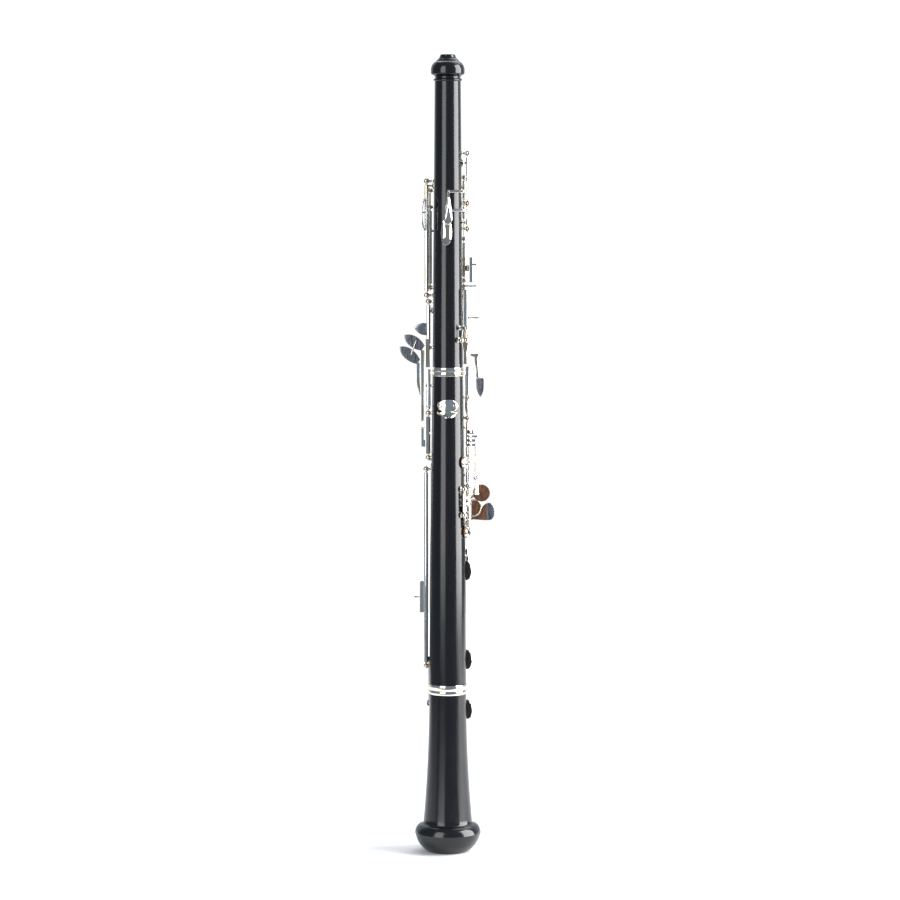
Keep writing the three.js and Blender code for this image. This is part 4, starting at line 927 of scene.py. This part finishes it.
# %% Long tubes and the open cups
x, y = HINGE["low_b_flat_link"][:2]
finger = FOOT_RADIUS + 0.35 + 0.3 + 0.65 + 0.05
button = [[0.001, 0], [0.7, 0], [0.7, 2.6], [1.15, 2.7], [1.2, 4.2], [0.9, 4.6], [0.001, 4.6]]
key_piece("low_b_flat_link",
          tube("low_b_flat_link", above(21.5), below(81.2), (above(24), above(58), above(92), below(84))),
          flat_bar([(x, y), polar(-76, finger), polar(-66, finger)], above(22), above(26), 1.3),
          bar(path3([*polar(-66, finger), above(26)], [*polar(-66, finger), onBell(13)]), (2.4, 2.0), 1.2),
          bar(path3([x - 3.4, y, above(61.7)], [x - 3.4, y, above(88)]), 3.3, 1.3, (0, 1, 0), square=7),
          *[bar(path3([x, y, v], [x - 2.6, y, v]), 2.2, 1.2, (0, 1, 0)) for v in (above(64), above(86))],
          lathe(button, 20, (x - 4.8, y, above(74.7)), (-1, 0, 0)))
key_piece("low_b_key", tube("low_b_key", above(13.2), below(74.7), (above(30), above(100), below(80))),
          arm("low_b_key"), cup("low_b_key", 1.3), *pegged("low_b_key"))
# The low B, bell key and low C pads take the nearly black painted shade.
pad("low_b_key", "low_b_pad_disc", SHADED_PAD_PAINT, ["low_b_pad"])
key_piece("bell_key", tube("bell_key", onBell(33.1), onBell(9.3), (onBell(31), onBell(20))),
          flat_bar([HINGE["bell_key"][:2], polar(-68, axis_of("bell_key")[1] + 0.1)],
                   onBell(15), onBell(10), 1.3),
          arm("bell_key"), cup("bell_key", 1.3), *pegged("bell_key"))
pad("bell_key", "bell_key_pad_disc", SHADED_PAD_PAINT, ["bell_key_pad"])

# %% Lower stack
x, y = HINGE["right_bridge_key"][:2]
key_piece("right_bridge_key", tube("right_bridge_key", below(34.8), below(23.7)),
          flat_bar([(x - 0.6, y + 1.0), (x - 0.6, y + 4.0)], below(33), below(25), 3.0),
          bar(path3([x - 0.6, y + 3.6, below(31)], [x - 0.6, y + 3.6, onTop(4)]), (3.8, 3.0, 3.8), 1.3,
              (0, 1, 0)))
outer_x, outer_y = x + 6.9, y - 3.6
turned = [[r, below(drop)] for r, drop in [
    (0.001, 99), (2.0, 99), (2.3, 98.7), (2.3, 97.9), (1.6, 97.3), (1.5, 92), (1.5, 87.2), (2.3, 86.6),
    (2.6, 86), (2.6, 85), (2.3, 84.4), (1.5, 83.8), (1.5, 60), (1.6, 53.4), (1.3, 52.8), (0.001, 52.8),
]]
rungs = [bar(path3([x, y, v], [x + 1.9, outer_y, v], [outer_x + far, outer_y, v]), 2.2, tall, (0, 0, 1),
             bend=1.2, square=7)
         for v, far, tall in ((below(48.6), -1.6, 3.2), (below(52), 1.4, 1.6), (below(55.4), 1.4, 2.2),
                              (below(59), 1.8, 1.8))]
key_piece("f_sharp_key", tube("f_sharp_key", below(60), below(40.2), (below(57.5), below(42.5))),
          arm("f_sharp_key"), plate_cup("f_sharp_key"), *rungs, lathe(turned, 28, (outer_x, outer_y, 0)))
for key, low, high in [("e_key", below(89.8), below(80.6)), ("d_key", below(119.3), below(95.2))]:
    key_piece(key, tube(key, low, high, (low + 1.8,)), arm(key), plate_cup(key))
for key in ("f_sharp_key", "e_key", "d_key"):
    pad(key, key + "_pad")
key_piece("fork_f_key", tube("fork_f_key", below(80), below(60.6), (below(78), below(63))),
          arm("fork_f_key"), cup("fork_f_key"))
pad("fork_f_key", "fork_f_pad_disc", TAN_PAD, ["fork_f_pad"])

# %% The arm of a right touch
SIDE = HINGE["f_sharp_key"][0] + 3.2  # x of the arms where they reach back to the thumb side
EX, EY = HINGE["e_flat_key"][:2]
TOUCH = 7.5  # y of the touches' backs


def side_arm(start, level, foot):
    """A flat arm round the side, between the stack's tube and the outer rod, to a touch at the front."""
    return flat_bar([*start, (SIDE, EY + 6.4), (SIDE, level - 0.5)], foot, foot + 2, 1.3, bend=2.5)


# %% The two round touches
DISC = 6.9
root = [(EX, EY), (SIDE - 2.6, EY + 1.2)]
for key, low, high, across, z, level in [
    ("c_sharp_touch", below(107), below(102.4), SIDE + 1.0, below(110), TOUCH - 3.6),
    ("low_c_touch", below(102), below(97.1), SIDE + 7.7, below(98.4), TOUCH),
]:
    outline = disc_line([across, z], DISC)
    if key == "c_sharp_touch":
        outline[:, 0] = np.maximum(outline[:, 0], SIDE - 0.5)
        a = np.linspace(-1.7, 1.75, 30)
        rim = np.c_[across + 6.5 * np.cos(a), np.full(30, level - 1.7), z + 6.5 * np.sin(a)]
        touch_piece(key, "rim", SILVER, bar(rim, 1.1, 0.8, (0, -1, 0), ends=0.3))
    foot = path3([SIDE - 0.4, level - 0.75, low + 1.2], [SIDE + 4.5, level - 0.75, low + 1.2])
    key_piece(key, tube(key, low, high), side_arm(root, level, low + 0.2), bar(foot, 2.4, 1.4, (0, 1, 0)))
    touch_piece(key, "disc", BROWN_TOUCH, leaf_plate(outline, level, level - 1.5, -0.1, 0.35))

# %% The E flat touch
z = below(114.6)
drop = np.vstack([
    cubic([SIDE - 0.6, z - 5.2], [SIDE + 6, z - 5.4], [SIDE + 12, z - 6.4], [SIDE + 15.2, z - 5.6]),
    cubic([SIDE + 15.2, z - 5.6], [SIDE + 19.6, z - 4.2], [SIDE + 19.6, z + 7.2], [SIDE + 14.0, z + 8.4])[1:],
    cubic([SIDE + 14.0, z + 8.4], [SIDE + 9.4, z + 9], [SIDE + 7.0, z + 1.2], [SIDE - 0.6, z - 2.4])[1:],
])
r = axis_of("e_flat_key")[1]
far = float(wood_radius(PADS["e_flat_key"][1])) + BACK - 0.4
drum = [polar(115.5, r + 3.1), polar(110, r + 2.6), polar(103, far)]
key_piece("e_flat_key", tube("e_flat_key", below(112.1), below(107.4)),
          side_arm([drum[0]], TOUCH, z - 4.9),
          flat_bar([(EX, EY), drum[0]], below(112), below(108), 1.3),
          flat_bar(drum, below(131), below(108), 1.3),
          cup("e_flat_key"))
pad("e_flat_key", "e_flat_pad_disc", TAN_PAD, ["e_flat_pad"])
touch_piece("e_flat_key", "drop", BRUSHED, leaf_plate(drop, TOUCH, TOUCH - 1.5, -0.1, 0.35))
# A smaller brown face inside the E flat drop.
brown_inset = drop * 0.96 + [(SIDE + 9) * 0.04, z * 0.04]
brown_inset[:, 0] = np.minimum(brown_inset[:, 0], SIDE + 12.1)
touch_piece("e_flat_key", "brown_face", BROWN_TOUCH, leaf_plate(brown_inset, TOUCH - 1.0, TOUCH - 1.75, -0.05, 0.2))

# %% Low C and C sharp
x, y = HINGE["low_c_key"][:2]
phi, z = PADS["low_c_key"][:2]
reach = float(wood_radius(z)) + OPEN + BACK - 0.85
key_piece("low_c_key", tube("low_c_key", above(109.2), above(116)),
          flat_bar([(x, y), polar(30, reach + 0.6), polar(46, reach + 1.2)], above(110), above(115), 1.3),
          bar(path3([*polar(45, reach + 1.2), above(112.5)], [*polar(52, reach + 0.5), above(104)],
                    [*polar(phi, reach), z]), (4.6, 3.6, 3.2), 1.3),
          cup("low_c_key", 1.3), *pegged("low_c_key"))
pad("low_c_key", "low_c_pad_disc", SHADED_PAD_PAINT, ["low_c_pad"])
key_piece("c_sharp_key", tube("c_sharp_key", above(116.5), above(126.3)), arm("c_sharp_key"),
          cup("c_sharp_key"))
pad("c_sharp_key", "c_sharp_pad")

# %% [markdown]
# ## Thumb rest
# A curved oval plate holds a hook that the right thumb carries the weight on. Two slotted screws go
# into the wood. The plate bends with the wood, so its grid is worked out flat and then wrapped round.
# %% Thumb rest
REST = below(27)
wood = float(wood_radius(REST + 5)) + 0.45


def wrapped(P, radius, bend):
    """Bends a flat grid [across, out, up] to a bend radius: across becomes an angle. The middle of the
    grid lies at the stated radius from the bore, and a larger bend leaves its edges off the wood."""
    a = P[..., 0] / bend
    r = bend + P[..., 1]
    return np.stack([r * np.sin(a), bend - radius - r * np.cos(a), P[..., 2]], -1)


PLATE_WIDE, PLATE_TALL, PLATE_BEND = 8.4, 5.2, 16.5
a = np.linspace(0, 2 * np.pi, 72, endpoint=False)
oval = np.stack([PLATE_WIDE * np.cos(a), PLATE_TALL * np.sin(a)], 1)
rings = [(0.02, 0), (0.5, 0), (0.96, 0), (0.99, 0.2), (1, 0.45), (0.985, 0.75), (0.95, 0.98), (0.88, 1.08),
         (0.7, 1.12), (0.4, 1.12), (0.02, 1.12)]
P = np.stack([np.c_[oval[:, 0] * s, np.full(len(oval), h), oval[:, 1] * s + REST] for s, h in rings])
plate_shell = shell(wrapped(P, wood, PLATE_BEND))

# %% [markdown]
# The hook is one curved sheet. U runs across from -1 to 1 and V runs out from the wood from 0 to 1. It
# sags towards its front, reaches furthest in the middle, and thins towards its edge.
# %% The hook
HOOK_HALF, HOOK_OUT, HALF_THICK = 8.8, 10.2, 0.75
U, V = np.meshgrid(np.linspace(-1, 1, 41), np.linspace(0, 1, 17), indexing="ij")
sag = REST - 4.6 - (1 - U**2) * (0.7 + 3.0 * V)
y_in = -np.sqrt(np.clip(wood**2 - (HOOK_HALF * U) ** 2, 0, None)) - 0.1
reach_y = y_in - 0.4 - HOOK_OUT * (1 - U**2) ** 0.45
lip = 0.5 * V**6
mid = np.stack([HOOK_HALF * U, y_in + (reach_y - y_in) * V, sag - lip], -1)
half = np.zeros(mid.shape)
half[..., 2] = HALF_THICK * (1 - 0.75 * np.maximum(np.abs(U), V) ** 14)
n, m = U.shape
idx = np.arange(n * m).reshape(n, m)
quad = np.stack([idx[:-1, :-1], idx[1:, :-1], idx[1:, 1:], idx[:-1, 1:]], -1).reshape(-1, 4)
rim = np.r_[idx[:, 0], idx[-1, 1:], idx[-2::-1, -1], idx[0, -2:0:-1]]
wall = np.stack([rim, np.roll(rim, -1), np.roll(rim, -1) + n * m, rim + n * m], -1)
hook = (np.vstack([(mid + half).reshape(-1, 3), (mid - half).reshape(-1, 3)]),
        quad.tolist() + (quad[:, ::-1] + n * m).tolist() + wall[:, ::-1].tolist())
web = bar(path3([0, -wood - 0.5, REST - 3.8], [0, -wood - 1.2, REST - 5.6]), (6.0, 6.5), (1.2, 1.6),
          (0, -1, 0))
make("thumb_rest_plate", [plate_shell, hook, web], "bottom_section", ["thumb_rest"], SILVER)


# %% Screws
under = float(wood_radius(REST))
head = [[0.001, under], [0.85, under], [0.85, under + 1.5], [1.65, under + 1.75], [1.7, under + 2.05],
        [1.45, under + 2.3], [0.8, under + 2.42], [0.001, under + 2.45]]
for name, side in (("thumb_rest_screw_left", 1), ("thumb_rest_screw_right", -1)):
    out = np.r_[polar(180 + side * 25, 1), 0]
    screw = make(name + "_head", [lathe(head, 32, (0, 0, REST), out)], "bottom_section", [name], STEEL)
    turn = math.radians(35 * side)
    across = np.array([out[1], -out[0], 0]) * math.cos(turn) + np.array([0, 0, 1]) * math.sin(turn)
    c = out * (under + 2.6) + [0, 0, REST]
    slot = bar(path3(c - across * 2.2, c + across * 2.2), 0.45, 1.1, out, ends=0.1, square=8, around=8,
               step=2)
    cut_out(screw, make("slot", [slot], "bottom_section"))
print("bottom joint keys and thumb rest made")

# %% [markdown]
# ## Camera, floor and light
# A long lens keeps the tall body straight. The floor and the space round it are white to the camera,
# but the metal sees a dimmer, bluer room. One broad soft light stands to the left of the camera and a
# brighter one to the right, and each draws a clean upright line on the polished wood.
# %% Camera
eye = bpy.data.cameras.new("camera")
eye.lens, eye.sensor_width = 130.0, 36.0
camera = bpy.data.objects.new("camera", eye)
camera.location = (0.0018, -2.6, 0.53)
camera.rotation_euler = (math.radians(90 - 4.5), 0, 0)
eye.clip_end = 50
bpy.context.scene.collection.objects.link(camera)
bpy.context.scene.camera = camera


# %% Floor and world
floor_mesh = bpy.data.meshes.new("floor")
left, right, near, far = -0.7, 1.2, -0.27, 1.5
corners = [(left, near, 0), (right, near, 0), (right, far, 0), (left, far, 0)]
floor_mesh.from_pydata(corners, [], [[0, 1, 2, 3]])
floor = bpy.data.objects.new("floor", floor_mesh)
bpy.context.scene.collection.objects.link(floor)
floor_mesh.materials.append(finish("white_paper", None, (0.96, 0.96, 0.96), 0.8)[0])
world = bpy.data.worlds.new("studio")
bpy.context.scene.world = world
world.use_nodes = True
wn, wl = world.node_tree.nodes, world.node_tree.links
seen = wn.new("ShaderNodeLightPath")
mix = wn.new("ShaderNodeMixShader")
plain = wn.new("ShaderNodeBackground")
plain.inputs["Color"].default_value = (1, 1, 1, 1)
plain.inputs["Strength"].default_value = 1.05
wn["Background"].inputs["Color"].default_value = (0.7, 0.85, 1.0, 1)
wn["Background"].inputs["Strength"].default_value = 0.27
wl.new(seen.outputs["Is Camera Ray"], mix.inputs["Fac"])
wl.new(wn["Background"].outputs[0], mix.inputs[1])
wl.new(plain.outputs[0], mix.inputs[2])
wl.new(mix.outputs[0], wn["World Output"].inputs["Surface"])
bpy.context.scene.view_settings.view_transform = "Standard"


# %% Lights
def softbox(name, azimuth, distance, low, high, width, radiance, lean=0, tint=(1, 1, 1)):
    """An upright rectangular light that faces the oboe. Azimuth 0 is the camera's side and 90 the
    right, and lean tips it down. Its power is radiance times pi times its area."""
    lamp = bpy.data.lights.new(name, "AREA")
    lamp.shape, lamp.size, lamp.size_y = "RECTANGLE", width, high - low
    lamp.energy, lamp.color = radiance * math.pi * width * (high - low), tint
    o = bpy.data.objects.new(name, lamp)
    a = math.radians(azimuth)
    o.location = (math.sin(a) * distance, -math.cos(a) * distance, (low + high) / 2)
    o.rotation_euler = (math.radians(90 - lean), 0, a)
    bpy.context.scene.collection.objects.link(o)


softbox("left_box", -32, 2.2, -0.03, 2.3, 1.25, 3.9)
softbox("right_box", 80, 1.8, -0.01, 2.3, 1.5, 11.0)
softbox("back", 180, 2.4, 0.0, 3.4, 8.0, 0.62, 0, (0.88, 0.94, 1.0))
softbox("overhead", 160, 1.5, 1.6, 3.8, 3.2, 2.2, 62)
